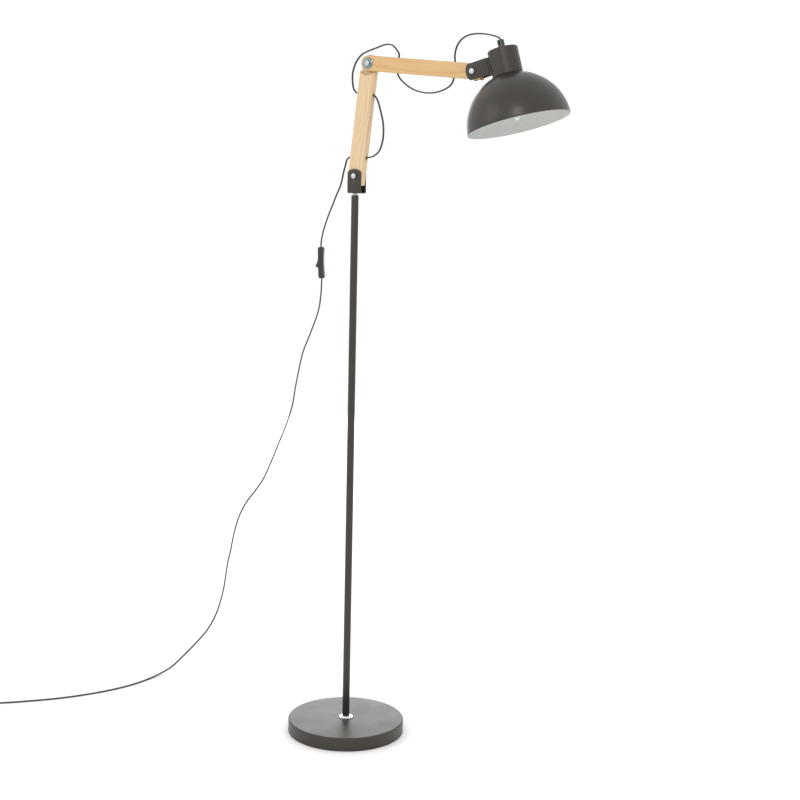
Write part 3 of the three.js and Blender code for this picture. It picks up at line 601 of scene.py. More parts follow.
def worked(piece, cuts=(), kept=(), edge=0.0):
    """Cuts solids out of a piece, keeps only what is inside others, and rounds its sharp edges."""
    tools = []
    for operation, solids in (("INTERSECT", kept), ("DIFFERENCE", cuts)):
        for solid in solids:
            tool = built("tool", [solid], piece.matrix_world)
            tools.append(tool)
            step = piece.modifiers.new("cut", "BOOLEAN")
            step.operation = operation
            step.object = tool
            step.solver = "EXACT"
    if edge:
        add_bevel(piece, edge * MM, 2, 40)
    mesh = applied(piece)
    for tool in tools:
        bpy.data.objects.remove(tool)
    smoothed(mesh)
    return piece


pieces_by_slot = []


def stands_for(piece, *nodes, looks=(), own=None):
    """The piece rides on its node's body, and takes its look or its own. looks are for further parts."""
    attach(piece, body_of_node[nodes[0]])
    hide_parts(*nodes)
    pieces_by_slot.append((piece, [own or slot_of_node[nodes[0]], *looks]))
    return piece


def lathe(name, node, outline, steps, sides, where=WORLD, own=None):
    """A turned piece that stands for a node, from (radius, height, corner radius) points."""
    return stands_for(built(name, [turned(rounded(outline, steps), sides)], where), node, own=own)


def heights(node):
    return [corner.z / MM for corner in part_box(node)]


def make_base():
    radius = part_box("base_cover")[1].x / MM
    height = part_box("base_cover")[1].z / MM
    wall = 1.2
    bore = 4.3
    cover = [
        (radius - wall, 0.8, 0.3), (radius, 0.8, 0.4), (radius, height, 3.2), (bore, height, 0),
        (bore, height - wall, 0), (radius - wall, height - wall, 2),
    ]
    lathe("base_shell", "base_cover", cover, 10, 192)
    weight = [
        (16, 2.3, 0), (radius - 1.6, 2.3, 0.8), (radius - 1.6, 15, 1.5), (bore, 15, 0), (bore, 11, 0),
        (16, 11, 0),
    ]
    lathe("base_ballast", "base_weight", weight, 6, 160)
    pad = [(0, 0, 0), (radius - 5, 0, 0.7), (radius - 5, 2, 0.5), (0, 2, 0)]
    lathe("base_foot_pad", "base_pad", pad, 6, 160)
    foot, top = heights("base_collar")
    collar = [
        (bore, foot, 0), (15, foot, 0.2), (15, foot + 1.5, 0.7), (11.6, foot + 1.9, 1), (10.6, top, 0.8),
        (bore, top, 0),
    ]
    lathe("pole_collar", "base_collar", collar, 8, 96)


def make_pole():
    foot, top = heights("pole")
    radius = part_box("pole")[1].x / MM
    outline = [(radius - 1.2, foot, 0.2), (radius, foot, 0.4), (radius, top, 0.4), (radius - 1.2, top, 0.2)]
    lathe("pole_tube", "pole", outline, 4, 64)
    low, high = heights("top_stud")
    stud = [
        (0, low), (3.4, low), *thread(4, low + 0.5, high - 0.6), (3.5, high - 0.4), (3.1, high), (0, high),
    ]
    stands_for(built("pole_stud", [turned(stud, 48)]), "top_stud")
    low, high = heights("stud_washer")
    washer = [(4.3, low, 0.2), (5.6, low, 0.3), (5.6, high, 0.3), (4.3, high, 0.2)]
    lathe("pole_washer", "stud_washer", washer, 3, 64)
    low, high = heights("stud_nut")
    stands_for(built("pole_nut", [hexagonal(12, low, high, 4.3)]), "stud_nut")


GAP = 0.3  # between pieces that touch, as in the CAD
BOLT_BORE = 3.3
STUD_BORE = 4.3
CORD_BORE = 3.7
ARM_DEPTH = 17.4
ARM_EDGE = 2.8
ARM_OVERRUN = 17.5  # of an arm past its far pivot
LAP_RADIUS = 24.5
LAP_GAP = 0.6
SHEET = 1.6
SEAT = 35.0  # from a bracket's pivot to the outside of its web
CHEEK_FACE = ARM_DEPTH / 2 + GAP + SHEET


def bracket(name, where, bore_at, node):
    """A U of bent sheet. It is laid out flat, given its thickness and rounded edges, and then folded."""
    half_width, reach, bend = 16.2, 14.5, 4.0
    flat_web = CHEEK_FACE - bend
    arc = (bend - SHEET / 2) * math.pi / 2
    start = flat_web + arc  # where the straight part of a cheek begins
    rise = start - (bend - SEAT)  # added to a height on a cheek to give the length along the sheet
    corner, shoulder, crown = 3.0, 9.5, 26.0
    spread = math.asin((half_width - corner) / crown)
    end = [
        (half_width - corner + corner * math.cos(a), shoulder - corner + corner * math.sin(a))
        for a in np.linspace(0, math.pi / 2 - spread, 8)
    ]
    end += [
        (crown * math.cos(a), reach - crown + crown * math.sin(a))
        for a in np.linspace(math.pi / 2 - spread, math.pi / 2 + spread, 28)
    ]
    end += [(-x, z) for x, z in end[7::-1]]
    outline = [(x, z + rise) for x, z in end]
    outline += [(-x, -s) for x, s in outline]
    bores = ((BOLT_BORE, 0, rise), (BOLT_BORE, 0, -rise), (STUD_BORE, bore_at, 0))
    loops = [outline, *([(x + at, y + s) for x, y in circle(r)] for r, at, s in bores)]
    flat = [[Vector((x, s, 0)) for x, s in loop] for loop in loops]
    points = [point for loop in flat for point in loop]
    work = bmesh.new()
    made = [work.verts.new(point) for point in points]
    for face in tessellate_polygon(flat):
        work.faces.new([made[k] for k in face])
    steps = 8
    for bent in [flat_web + arc * k / steps for k in range(steps + 1)]:
        for s in (bent, -bent):
            everything = [*work.verts, *work.edges, *work.faces]
            bmesh.ops.bisect_plane(work, geom=everything, plane_co=(0, s, 0), plane_no=(0, 1, 0))
    bmesh.ops.recalc_face_normals(work, faces=work.faces)
    mesh = bpy.data.meshes.new(name)
    work.to_mesh(mesh)
    work.free()
    piece = placed(name, mesh)
    thick = piece.modifiers.new("thickness", "SOLIDIFY")
    thick.thickness = SHEET
    thick.offset = 0
    add_bevel(piece, 0.4, 3, 60)
    mesh = applied(piece)
    for vertex in mesh.vertices:
        x, s, out = vertex.co
        a = abs(s)
        if a < flat_web:
            y, z = a, SHEET / 2 - SEAT - out
        elif a < start:
            turn = (a - flat_web) / arc * math.pi / 2
            radius = bend - SHEET / 2 + out
            y, z = flat_web + radius * math.sin(turn), bend - SEAT - radius * math.cos(turn)
        else:
            y, z = CHEEK_FACE - SHEET / 2 + out, a - rise
        vertex.co = (x * MM, math.copysign(y, s) * MM, z * MM)
    faced_outward(mesh)
    smoothed(mesh)
    piece.matrix_world = where
    return stands_for(piece, node)


def bolt_shaft(tip, head, radius=3.0, threaded=9.0):
    """The outline of a bolt's shaft, threaded at its tip, for turned()."""
    return [(0, tip), (radius - 0.5, tip), *thread(radius, tip + 0.4, tip + threaded),
            (radius, tip + threaded + 0.3), (radius, head), (0, head)]


def lock_nut(face):
    """A hexagon nut behind a face, with a turned collar that holds a nylon ring."""
    back = [
        (3.3, -face - 4.2, 0), (4.6, -face - 4.2, 0), (4.6, -face - 6.3, 0.9), (3.9, -face - 6.3, 0),
        (3.3, -face - 5.7, 0),
    ]
    ring = [
        (3.05, -face - 5.2, 0), (3.6, -face - 5.2, 0), (3.75, -face - 5.95, 0.2), (3.05, -face - 5.75, 0.2),
    ]
    points, faces = hexagonal(10, face + GAP, face + 4.6, BOLT_BORE)
    body = [(x, y, -z) for x, y, z in points], faces
    return [(body, 0), (turned(rounded(back, 5), 64), 0), (turned(rounded(ring, 3), 48), 1)]


def pivot(prefix, where, node_prefix):
    face = CHEEK_FACE
    foot = face + GAP
    flange = [(0, foot - 0.1, 0), (4.75, foot - 0.1, 0.1), (4.75, foot + 0.4, 0.1), (0, foot + 0.4, 0)]
    shaft = turned(bolt_shaft(-face - 8, foot + 1), 48)
    bolt = [hexagonal(10, foot + 0.4, foot + 4), turned(rounded(flange, 2), 64), shaft]
    stands_for(built(prefix + "_bolt", bolt, where @ FRONT), node_prefix + "_bolt")
    stands_for(built(prefix + "_nut", lock_nut(face), where @ FRONT), node_prefix + "_nut", looks=["nylon"])


def make_arm(arm, span, side, where):
    """A pine bar along X from its elbow, halved there: side 1 keeps the back half, -1 the front half."""
    half, *holes_at = (round(size[arm] / MM, 3) for size in (FACE, NEAR_HOLE, FAR_HOLE))
    depth, end, clear = ARM_DEPTH / 2, span + ARM_OVERRUN, half + 1
    section = rectangle(depth, half, ARM_EDGE, 9)
    bar = lofted([[(x, y, z) for y, z in section] for x in np.linspace(-half, end, 12)])
    nose = [(half * math.cos(a), half * math.sin(a)) for a in np.linspace(math.pi / 2, 1.5 * math.pi, 48)]
    tail = rounded([(0, -half, 0), (end, -half, 2), (end, half, 2), (0, half, 0)], 6)[1:-1]
    plan = [*nose, (2, -clear), (end - 4, -clear), *tail, (end - 4, clear), (2, clear)]
    points, faces = upright(circle(LAP_RADIUS, 96), *sorted((-LAP_GAP * side, 20 * side)))
    lap = [(x, -z, y) for x, y, z in points], faces
    holes = [upright([(x + at, y) for x, y in circle(CORD_BORE)], -20, 20) for at in holes_at]
    bores = [through([(x + at, z) for x, z in circle(BOLT_BORE)], 12) for at in (0, span)]
    name = arm + "_bar"
    piece = built(name, [bar], where)
    worked(piece, cuts=[lap, *holes, *bores], kept=[through(plan, depth + 2)], edge=0.45)
    return stands_for(piece, arm + "_arm", own=name + "_pine")


def make_elbow():
    face = ARM_DEPTH / 2
    foot = face + GAP
    washer = [
        (3.3, foot, 0), (11.2, foot, 0.2), (11.2, foot + 0.9, 0.4), (9.4, foot + 2, 0.7),
        (6.8, foot + 2.1, 0.8),
        (3.3, foot + 1.2, 0),
    ]
    place = AT_ELBOW @ FRONT
    lathe("elbow_cup", "elbow_cup_washer", washer, 6, 96, place, own="blued_steel")
    head = foot + 2.3
    dome = [(0, head, 0), (5.4, head, 0.2), (5.4, head + 1.4, 0.9), (3.4, head + 3, 1.6), (0, head + 3, 0)]
    screw = built("elbow_screw", [turned(rounded(dome, 7), 64)], place)
    slots = [upright(rectangle(a, b, 0.3, 3), head + 1.5, head + 5) for a, b in ((2.3, 0.55), (0.55, 2.3))]
    worked(screw, cuts=slots, edge=0.12)
    shaft = built("shaft", [turned(bolt_shaft(-face - 10, head + 0.5), 48)], place)
    stands_for(joined(screw, shaft), "elbow_bolt")
    disc = [(3.3, -0.3, 0), (12, -0.3, 0.1), (12, 0.3, 0.1), (3.3, 0.3, 0)]
    lathe("elbow_disc", "elbow_friction_disc", disc, 2, 72, place)
    back = [(3.3, -face - 1.8, 0.2), (9, -face - 1.8, 0.4), (9, -face - 0.3, 0.3), (3.3, -face - 0.3, 0)]
    lathe("elbow_washer", "elbow_back_washer", back, 3, 72, place)
    stands_for(built("elbow_lock_nut", lock_nut(face + 1.8), place), "elbow_nut", looks=["nylon"])


def joined(piece, other):
    """Adds other's mesh to piece's; both have the same place."""
    work = bmesh.new()
    work.from_mesh(piece.data)
    work.from_mesh(other.data)
    work.to_mesh(piece.data)
    work.free()
    bpy.data.objects.remove(other)
    smoothed(piece.data)
    return piece


# The head: neck cup, shade, lamp holder and bulb, all about the shade's axis.
NECK_RADIUS = 30.0
NECK_TOP = 24.0
RIM_DROP = 125.0
SHADE_RADIUS = 101.8
SHADE_HEIGHT = 102.2
SHADE_POWER = 1.93
SHADE_HOLE = 14.6
SHADE_WALL = 1.2
SHADE_SIDES = 224


def make_neck():
    bottom, wall = -27.5, 1.2
    cup = [
        (NECK_RADIUS - wall, bottom, 0.2), (NECK_RADIUS, bottom, 0.3), (NECK_RADIUS, NECK_TOP, 2.8),
        (5.3, NECK_TOP, 0), (5.3, NECK_TOP - wall, 0), (NECK_RADIUS - wall, NECK_TOP - wall, 1.6),
    ]
    shell = built("neck_shell", [turned(rounded(cup, 9), 144)], SHADE_AXIS)
    hole = turned([(0, -5), (4.3, -5), (4.3, 5), (0, 5)], 48)
    points = [(z - NECK_RADIUS, y, -x) for x, y, z in hole[0]]
    worked(shell, cuts=[(points, hole[1])])
    stands_for(shell, "neck_cup")
    head = SEAT - SHEET - GAP
    pan = [(0, head - 3, 0), (7, head - 3, 1.6), (7, head, 0.2), (0, head, 0)]
    shaft = bolt_shaft(head - 0.5, NECK_RADIUS + 15.3, 4.0, 12.0)
    screw = built("neck_screw", [turned(rounded(pan, 6), 64), turned(shaft, 48)], HEAD @ OUTWARD)
    stands_for(screw, "bracket_screw")


def dome(inset, steps):
    """The outline of the shade from its rim to its crown, a superellipse of revolution."""
    outline = []
    for angle in np.linspace(0, math.pi / 2, steps):
        out = (SHADE_RADIUS - inset) * math.cos(angle) ** (2 / SHADE_POWER)
        up = (SHADE_HEIGHT - inset) * math.sin(angle) ** (2 / SHADE_POWER)
        if out > SHADE_HOLE + 1:
            outline.append((out, up - RIM_DROP))
    return [*outline, (SHADE_HOLE, SHADE_HEIGHT - inset - RIM_DROP - 0.9)]


def make_shade():
    outside = dome(0, 72)
    inside = dome(SHADE_WALL, 72)[::-1]
    lip = SHADE_WALL / 2
    rim = [
        (SHADE_RADIUS - lip + lip * math.cos(angle), -RIM_DROP + lip + lip * math.sin(angle))
        for angle in np.linspace(-math.pi, 0, 9)[1:-1]
    ]
    outline = [*outside[1:], *inside[:-1], *rim]
    solid = turned(outline, SHADE_SIDES)
    pale = range(len(outside) - 1, len(outside) + len(inside) - 2)
    looks = [int(face[0] // SHADE_SIDES in pale) for face in solid[1]]
    shell = built("shade_dome", [solid], SHADE_AXIS, sharp=50)
    shell.data.polygons.foreach_set("material_index", looks)
    stands_for(shell, "shade", looks=["shade_inside"])


def knurled(radius, depth, ribs):
    return lambda height: lambda angle: (radius - depth * (0.5 + 0.5 * math.cos(ribs * angle)) ** 2, height)


def make_lamp_holder():
    bore, body = 8.2, 13.6
    holder = [
        (bore, -38.8, 0.4), (body, -38.8, 1.5), (body, -23.2, 0.3), (17.5, -23.2, 0.6), (17.5, -19.5, 0.6),
        (body, -19.5, 0.3), (body, 5, 2), (9, 12, 1.5), (5.3, 12, 0.3), (5.3, -6, 0), (4, -6, 0), (4, -12, 0),
        (bore, -12, 0.5),
    ]
    lathe("holder_body", "lamp_holder", holder, 6, 96, SHADE_AXIS)
    rib = knurled(18.8, 0.7, 36)
    ring = [(body + 0.3, -33), (17.4, -33), rib(-32.2), rib(-28.0), (17.9, -27.2), (body + 0.3, -27.2)]
    stands_for(built("holder_ring", [turned(ring, 288)], SHADE_AXIS), "shade_ring")


def make_bulb():
    radius, neck, tip, tip_radius, collar = 17.5, -39.3, -116.0, 6.0, 9.0
    widest = neck - 31
    outline = [(0, neck), (collar, neck)]
    for share in np.linspace(0, 1, 20)[1:]:
        angle = share * math.pi / 2
        outline.append((collar + (radius - collar) * math.sin(angle), neck + (widest - neck) * share**1.15))
    for share in np.linspace(0, 1, 28)[1:]:
        taper = (1 + math.cos(math.pi * share**0.92)) / 2
        outline.append(
            (tip_radius + (radius - tip_radius) * taper, widest + (tip + tip_radius - widest) * share)
        )
    for angle in np.linspace(0, math.pi / 2, 10)[1:-1]:
        outline.append((tip_radius * math.cos(angle), tip + tip_radius - tip_radius * math.sin(angle)))
    outline.append((0, tip))
    stands_for(built("bulb_envelope", [turned(outline, 96)], SHADE_AXIS), "bulb_glass")


def make_grip():
    radius, foot, top = 7.0, NECK_TOP + GAP, NECK_TOP + 18
    outline = [
        (5.3, foot, 0), (radius + 1.2, foot, 0.2), (radius + 1.2, foot + 2.6, 0.9), (radius, foot + 2.9, 0.4),
        (radius, top, 1.3), (2.9, top, 0.5), (2.9, 31.4, 0), (5.3, 31.4, 0),
    ]
    slit = lofted([[(-1, -9, z), (1, -9, z), (1, -1.4, z), (-1, -1.4, z)] for z in (top - 10, top + 1)])
    grip = worked(built("cord_gland", [turned(rounded(outline, 7), 72)], SHADE_AXIS), cuts=[slit], edge=0.25)
    stands_for(grip, "cord_grip")


# The switch: two moulded shells, a thumb rocker and two screws. X runs from front to back, Z along it.
SWITCH_HALF = 33.0


def switch_section(z, side):
    """The outline of one shell, side -1 the cover and 1 the back, at a height along the switch."""
    share = abs(z) / SWITCH_HALF
    waist = 10 + 1.5 * min(1.0, abs(z) / 23) ** 2
    shrink = 1 - math.sqrt(max(0.0, 1 - max(0.0, (share - 0.72) / 0.28) ** 2.4))
    width = waist - shrink * (waist - 4.6)
    depth = 6.0 if side < 0 else 5.5 + 1.5 * min(1.0, abs(z) / 30) ** 2
    depth -= 1.6 * max(0.0, (share - 0.86) / 0.14) ** 2
    near, far = side * 0.15, side * depth
    corners = [(near, -width, 0.3), (far, -width, 2.4), (far, width, 2.4), (near, width, 0.3)]
    return [(x, y, z) for x, y in rounded(corners, 7)]


def make_switch():
    heights = [SWITCH_HALF * math.sin(angle) for angle in np.linspace(-math.pi / 2, math.pi / 2, 49)]
    half_width, end, floor = 4.8, 13.0, -1.6
    slot = rectangle(half_width + 0.5, end, 1.2, 4)
    window = lofted([[(x, y, z) for y, z in slot] for x in (-9, floor)])
    entries = [upright(circle(2.7, 32), low, low + 6) for low in (-SWITCH_HALF - 1, SWITCH_HALF - 5)]
    cover = built("switch_front_shell", [lofted([switch_section(z, -1) for z in heights])], SWITCH)
    stands_for(worked(cover, cuts=[window, *entries], edge=0.2), "switch_cover")
    wells = []
    for height in (-19, 19):
        well = upright(circle(2.6, 40), 4, 9)
        wells.append(([(z, y, -x + height) for x, y, z in well[0]], well[1]))
    back = built("switch_back_shell", [lofted([switch_section(z, 1) for z in heights])], SWITCH)
    stands_for(worked(back, cuts=[*wells, *entries], edge=0.2), "switch_back")
    outline = [
        (1.1, -4, 0.3), (1.1, 4, 0.3), (-1.5, 10.4, 0.4), (-2.8, 10.6, 0.5), (-3.5, 4, 5), (-5.2, -1, 6),
        (-8.1, -6, 1.6),
        (-7, -8.1, 1.2), (-2.8, -11.4, 0.5), (-1.2, -10.6, 0.3),
    ]
    paddle = built("switch_paddle", [through(rounded(outline, 6), half_width)], SWITCH @ shifted(-4, 0, 0))
    stands_for(worked(paddle, edge=0.5), "switch_rocker")
    for name, height in (("upper", 19), ("lower", -19)):
        head = [(0, 4.3, 0), (2.2, 4.3, 0), (2.2, 5.9, 0.5), (0, 5.9, 0)]
        screw = built(
            "switch_fixing_" + name, [turned(rounded(head, 4), 48)], SWITCH @ shifted(0, 0, height) @ OUTWARD,
        )
        slots = [upright(rectangle(a, b), 5.1, 7) for a, b in ((1.4, 0.3), (0.3, 1.4))]
        stands_for(worked(screw, cuts=slots), "switch_screw_" + name)


def make_tie():
    half, inner, outer, width = 5.0, 0.4, 1.2, 3.0
    loops = [rectangle(a, a, 1.5 + r, 8) for a, r in ((half + inner, 0), (half + outer, outer - inner))]
    count = len(loops[0])
    points, faces = [], []
    for x in (-width, width):
        for loop in loops:
            points += [(x, y, z) for y, z in loop]
    for k in range(count):
        after = (k + 1) % count
        corners = [0, 1, 3, 2]
        for a, b in zip(corners, corners[1:] + corners[:1]):
            faces.append((a * count + k, a * count + after, b * count + after, b * count + k))
    low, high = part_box("coil_tie")
    middle = (low + high) / 2
    place = Matrix.Translation(middle) @ turned_about("Z", math.atan2(HEADING.y, HEADING.x))
    stands_for(worked(built("coil_strap", [(points, faces)], place), edge=0.3), "coil_tie")


def make_plug():
    place = Matrix.Translation(TAIL_START) @ turned_about("Z", math.atan2(SIDEWAYS.y, SIDEWAYS.x))
    foot, relief, length, half_width, half_height = 22.3, 26.0, 34.0, 13.0, 6.6
    ribs = [(0, foot), (2.9, foot)]
    for rib in range(8):
        start = foot + 2 + rib * 3
        radius = 3 + 1.8 * (rib + 1) / 9
        ribs += [
            (radius, start - 0.2), (radius - 0.9, start + 0.2), (radius - 0.85, start + 1),
            (radius + 0.05, start + 1.4),
        ]
    ribs += [(4.8, foot + relief - 0.4), (4.8, foot + relief), (0, foot + relief)]
    boot = built("plug_boot", [turned(ribs, 64)], place @ OUTWARD)
    stands_for(boot, "plug_relief")
    start = foot + relief + GAP
    sections = []
    for share in np.linspace(0, 1, 33):
        x = length * share
        swell = 1 / (1 + math.exp(-(x - 11) / 3.2))
        width = 6 + (half_width - 0.2 - 6) * swell
        height = 4.9 + (half_height - 0.1 - 4.9) * swell
        tuck = 0.9 * max(0.0, (share - 0.95) / 0.05) ** 2 + 0.5 * max(0.0, (0.05 - share) / 0.05) ** 2
        outline = rectangle(width - tuck, height - tuck, 3.2, 7)
        sections.append([(start + x, y, z) for y, z in outline])
    shell = built("plug_shell", [lofted(sections)], place)
    grips = []
    for side in (-1, 1):
        for groove in range(4):
            x = start + 14 + groove * 3.2
            low, high = sorted((side * (half_height - 0.7), side * (half_height + 2)))
            outline = rounded([(x, -7, 0.5), (x + 1.2, -7, 0.5), (x + 1.2, 7, 0.5), (x, 7, 0.5)], 4)
            grips.append(upright(outline, low, high))
    stands_for(worked(shell, cuts=grips, edge=0.2), "plug_body")
    pin_foot = start + length + GAP
    for name, side in (("left", 9.3), ("right", -9.3)):
        sleeve = [
            (0, pin_foot - 0.6, 0), (2, pin_foot - 0.6, 0), (2, pin_foot + 9.5, 0.3), (0, pin_foot + 9.5, 0),
        ]
        tip = [
            (0, pin_foot + 9, 0), (1.9, pin_foot + 9, 0), (1.9, pin_foot + 18.5, 1.7),
            (0, pin_foot + 18.5, 0),
        ]
        solids = [(turned(rounded(tip, 8), 48), 0), (turned(rounded(sleeve, 3), 48), 1)]
        pin = built("plug_prong_" + name, solids, place @ shifted(0, side, 0) @ OUTWARD)
        stands_for(pin, "plug_pin_" + name, looks=["plug_plastic"])


make_base()
make_pole()
bracket("lower_clevis", LOWER, -LOWER_PIVOT.x / MM, "lower_bracket")
pivot("lower_pivot_hex", LOWER, "lower_pivot")
bracket("head_clevis", HEAD @ turned_about("Y", -math.pi / 2), 0, "head_bracket")
pivot("head_pivot_hex", HEAD, "head_pivot")
make_arm("lower", LOWER_SPAN, 1, AT_ELBOW @ OUTWARD)
make_arm("upper", UPPER_SPAN, -1, UPPER)
make_elbow()
make_neck()
make_shade()
make_lamp_holder()
make_bulb()
make_grip()
make_switch()
make_tie()
make_plug()


# Materials. Each is procedural, in the piece's own coordinates, or along the cord for its sheath.
def linear(*screen):
    """A screen colour, three values from 0 to 255, as the shader's colour."""
    return (*(v / 255 / 12.92 if v <= 10 else ((v / 255 + 0.055) / 1.055) ** 2.4 for v in screen), 1)


class Look:
    """One material under construction."""

    def __init__(self, name, coordinates="Object"):
        self.material = bpy.data.materials.new(name)
        self.material.use_nodes = True
        self.tree = self.material.node_tree
        self.surface = self.tree.nodes["Principled BSDF"]
        self.place = self.add("TexCoord").outputs[coordinates]

    def add(self, kind, inputs=None, **settings):
        node = self.tree.nodes.new("ShaderNode" + kind)
        for key, value in settings.items():
            setattr(node, key, value)
        for key, value in (inputs or {}).items():
            self.put(node.inputs[key], value)
        return node

    def put(self, socket, value):
        if isinstance(value, bpy.types.NodeSocket):
            self.tree.links.new(value, socket)
        else:
            socket.default_value = value

    def set(self, **sockets):
        for key, value in sockets.items():
            self.put(self.surface.inputs[key.replace("_", " ")], value)

    def stretched(self, stretch):
        return self.add("Mapping", {"Vector": self.place, "Scale": stretch}).outputs["Vector"]

    def noise(self, size, detail=3.0, stretch=(1, 1, 1), contrast=0.5, warp=0.0):
        """Noise from 0 to 1 whose blotches are about size metres across."""
        inputs = {
            "Vector": self.stretched(stretch), "Scale": 1 / size, "Detail": detail, "Roughness": contrast,
            "Distortion": warp,
        }
        return self.add("TexNoise", inputs).outputs["Fac"]

    def ranged(self, value, low, high, start=0.3, stop=0.7):
        inputs = {"Value": value, "From Min": start, "From Max": stop, "To Min": low, "To Max": high}
        return self.add("MapRange", inputs).outputs["Result"]

    def maths(self, operation, a, b):
        node = self.add("Math", operation=operation)
        self.put(node.inputs[0], a)
        self.put(node.inputs[1], b)
        return node.outputs[0]

    def ramp(self, value, *stops):
        node = self.add("ValToRGB", {"Fac": value})
        elements = node.color_ramp.elements
        while len(elements) < len(stops):
            elements.new(0.5)
        for element, (at, colour) in zip(elements, stops):
            element.position = at
            element.color = colour
        return node.outputs["Color"]

    def mixed(self, share, a, b):
        node = self.add("Mix", data_type="RGBA")
        self.put(node.inputs[0], share)
        self.put(node.inputs[6], a)
        self.put(node.inputs[7], b)
        return node.outputs[2]

    def bump(self, height, depth, under=None):
        inputs = {"Height": height, "Distance": depth, "Strength": 1.0}
        if under:
            inputs["Normal"] = under
        return self.add("Bump", inputs).outputs["Normal"]


def powder_coat(name, dark, light, roughness):
    """A baked powder coat: a fine orange peel with slight flecks and changes of gloss."""
    look = Look(name)
    coarse = 0.0016
    peel = look.noise(coarse, 2.0)
    flecks = look.noise(coarse / 5, 2.0)
    cloud = look.noise(0.05, 3.0)
    tone = look.maths("ADD", look.maths("MULTIPLY", cloud, 0.6), look.maths("MULTIPLY", flecks, 0.4))
    colour = look.ramp(tone, (0.35, dark), (0.65, light))
    gloss = look.maths(
        "ADD", look.ranged(cloud, -0.04, 0.04), look.ranged(peel, roughness - 0.04, roughness + 0.05),
    )
    normal = look.bump(flecks, 0.00001, look.bump(peel, 0.00004))
    look.set(Base_Color=colour, Roughness=gloss, Normal=normal)
    look.set(Specular_IOR_Level=0.6, Specular_Tint=(1.0, 0.95, 0.89, 1))
    return look.material


def pine(name, place, warmth):
    """Light pine: wide pale early wood, orange late wood, fine fibres and resin streaks along the bar.

    place is where in the wood the bar was cut, and warmth from 0 to 1 is how orange it is."""
    look = Look(name)
    look.place = look.add("Mapping", {"Vector": look.place, "Location": place}).outputs["Vector"]
    drift = look.noise(0.09, 3.0, (0.25, 1, 1))
    shifted_place = look.add("VectorMath", operation="MULTIPLY_ADD")
    look.put(shifted_place.inputs[0], look.add("CombineXYZ", {"Y": drift, "Z": drift}).outputs[0])
    shifted_place.inputs[1].default_value = (0, 0.030, 0.022)
    look.put(shifted_place.inputs[2], look.stretched((0.035, 1, 1)))
    inputs = {"Vector": shifted_place.outputs[0], "Scale": 52.0, "Distortion": 1.6, "Detail": 3.0,
              "Detail Scale": 2.4, "Detail Roughness": 0.55}
    rings = look.add("TexWave", inputs, wave_type="RINGS", rings_direction="X", wave_profile="SAW")
    fibres = look.noise(0.0011, 5.0, (0.02, 1, 1), 0.65)
    streaks = look.noise(0.0045, 4.0, (0.035, 1, 1), 0.6)
    pores = look.noise(0.0005, 2.0, (0.05, 1, 1), 0.5)
    pale = linear(217 - 8 * warmth, 197 - 20 * warmth, 162 - 36 * warmth)
    warm = linear(206 - 6 * warmth, 174 - 14 * warmth, 129 - 22 * warmth)
    late = linear(192 - 4 * warmth, 144 - 6 * warmth, 92 - 8 * warmth)
    band = look.ramp(rings.outputs["Fac"], (0.0, pale), (0.55, warm), (0.86, late), (1.0, pale))
    even = linear(211 - 7 * warmth, 187 - 20 * warmth, 148 - 34 * warmth)
    base = look.mixed(look.ranged(streaks, 0.25, 0.8, 0.35, 0.65), band, even)
    colour = look.mixed(look.ranged(fibres, 0.0, 0.35, 0.5, 0.75), base, linear(201, 163, 116))
    colour = look.mixed(look.ranged(pores, 0.0, 0.15, 0.62, 0.75), colour, linear(168, 122, 78))
    normal = look.bump(pores, 0.00001, look.bump(fibres, 0.00003))
    look.set(Base_Color=colour, Roughness=look.ranged(fibres, 0.42, 0.58), Normal=normal)
    look.set(Coat_Weight=0.12, Coat_Roughness=0.35)
    return look.material


def bright_metal(name, colour, roughness, spread, size, scratch=0.0):
    """Plated steel or brass with faint clouds, and fine turning or rolling marks."""
    look = Look(name)
    cloud = look.noise(size, 4.0)
    marks = look.noise(0.0004, 3.0, (1, 1, 0.08))
    shade = look.ramp(cloud, (0.3, tuple(0.82 * value for value in colour[:3]) + (1,)), (0.7, colour))
    gloss = look.maths(
        "ADD", look.ranged(marks, -scratch, scratch), look.ranged(cloud, roughness, roughness + spread),
    )
    look.set(Base_Color=shade, Metallic=1.0, Roughness=gloss, Normal=look.bump(marks, 0.000012))
    return look.material


def moulded(name, dark, light, roughness, texture, depth, coat=0.0):
    """Moulded plastic with a fine sparked texture and slight handling marks."""
    look = Look(name)
    grain = look.noise(texture, 3.0)
    cloud = look.noise(0.012, 3.0)
    colour = look.ramp(cloud, (0.3, dark), (0.7, light))
    gloss = look.maths(
        "ADD", look.ranged(grain, -0.04, 0.04), look.ranged(cloud, roughness, roughness + 0.08),
    )
    look.set(Base_Color=colour, Roughness=gloss, Normal=look.bump(grain, depth))
    look.set(Coat_Weight=coat, Coat_Roughness=0.12)
    return look.material


def sheath():
    """The cord's soft sheath: a satin skin, faint drawing lines along it and slight changes of tone."""
    look = Look("cord_sheath", "UV")
    lines = look.noise(0.0008, 2.0, (0.02, 1, 1))
    waves = look.noise(0.012, 3.0, (1, 0.6, 1))
    colour = look.ramp(waves, (0.3, linear(46, 40, 36)), (0.7, linear(60, 53, 47)))
    look.set(
        Base_Color=colour, Roughness=look.ranged(waves, 0.4, 0.52),
        Normal=look.bump(lines, 0.00002, look.bump(waves, 0.0002)),
    )
    return look.material


def cast_iron():
    look = Look("cast_iron")
    grit = look.noise(0.0012, 5.0, contrast=0.7)
    cloud = look.noise(0.03, 4.0)
    colour = look.ramp(cloud, (0.3, linear(62, 60, 58)), (0.7, linear(96, 92, 88)))
    look.set(
        Base_Color=colour, Metallic=0.8, Roughness=look.ranged(grit, 0.55, 0.85),
        Normal=look.bump(grit, 0.0003),
    )
    return look.material


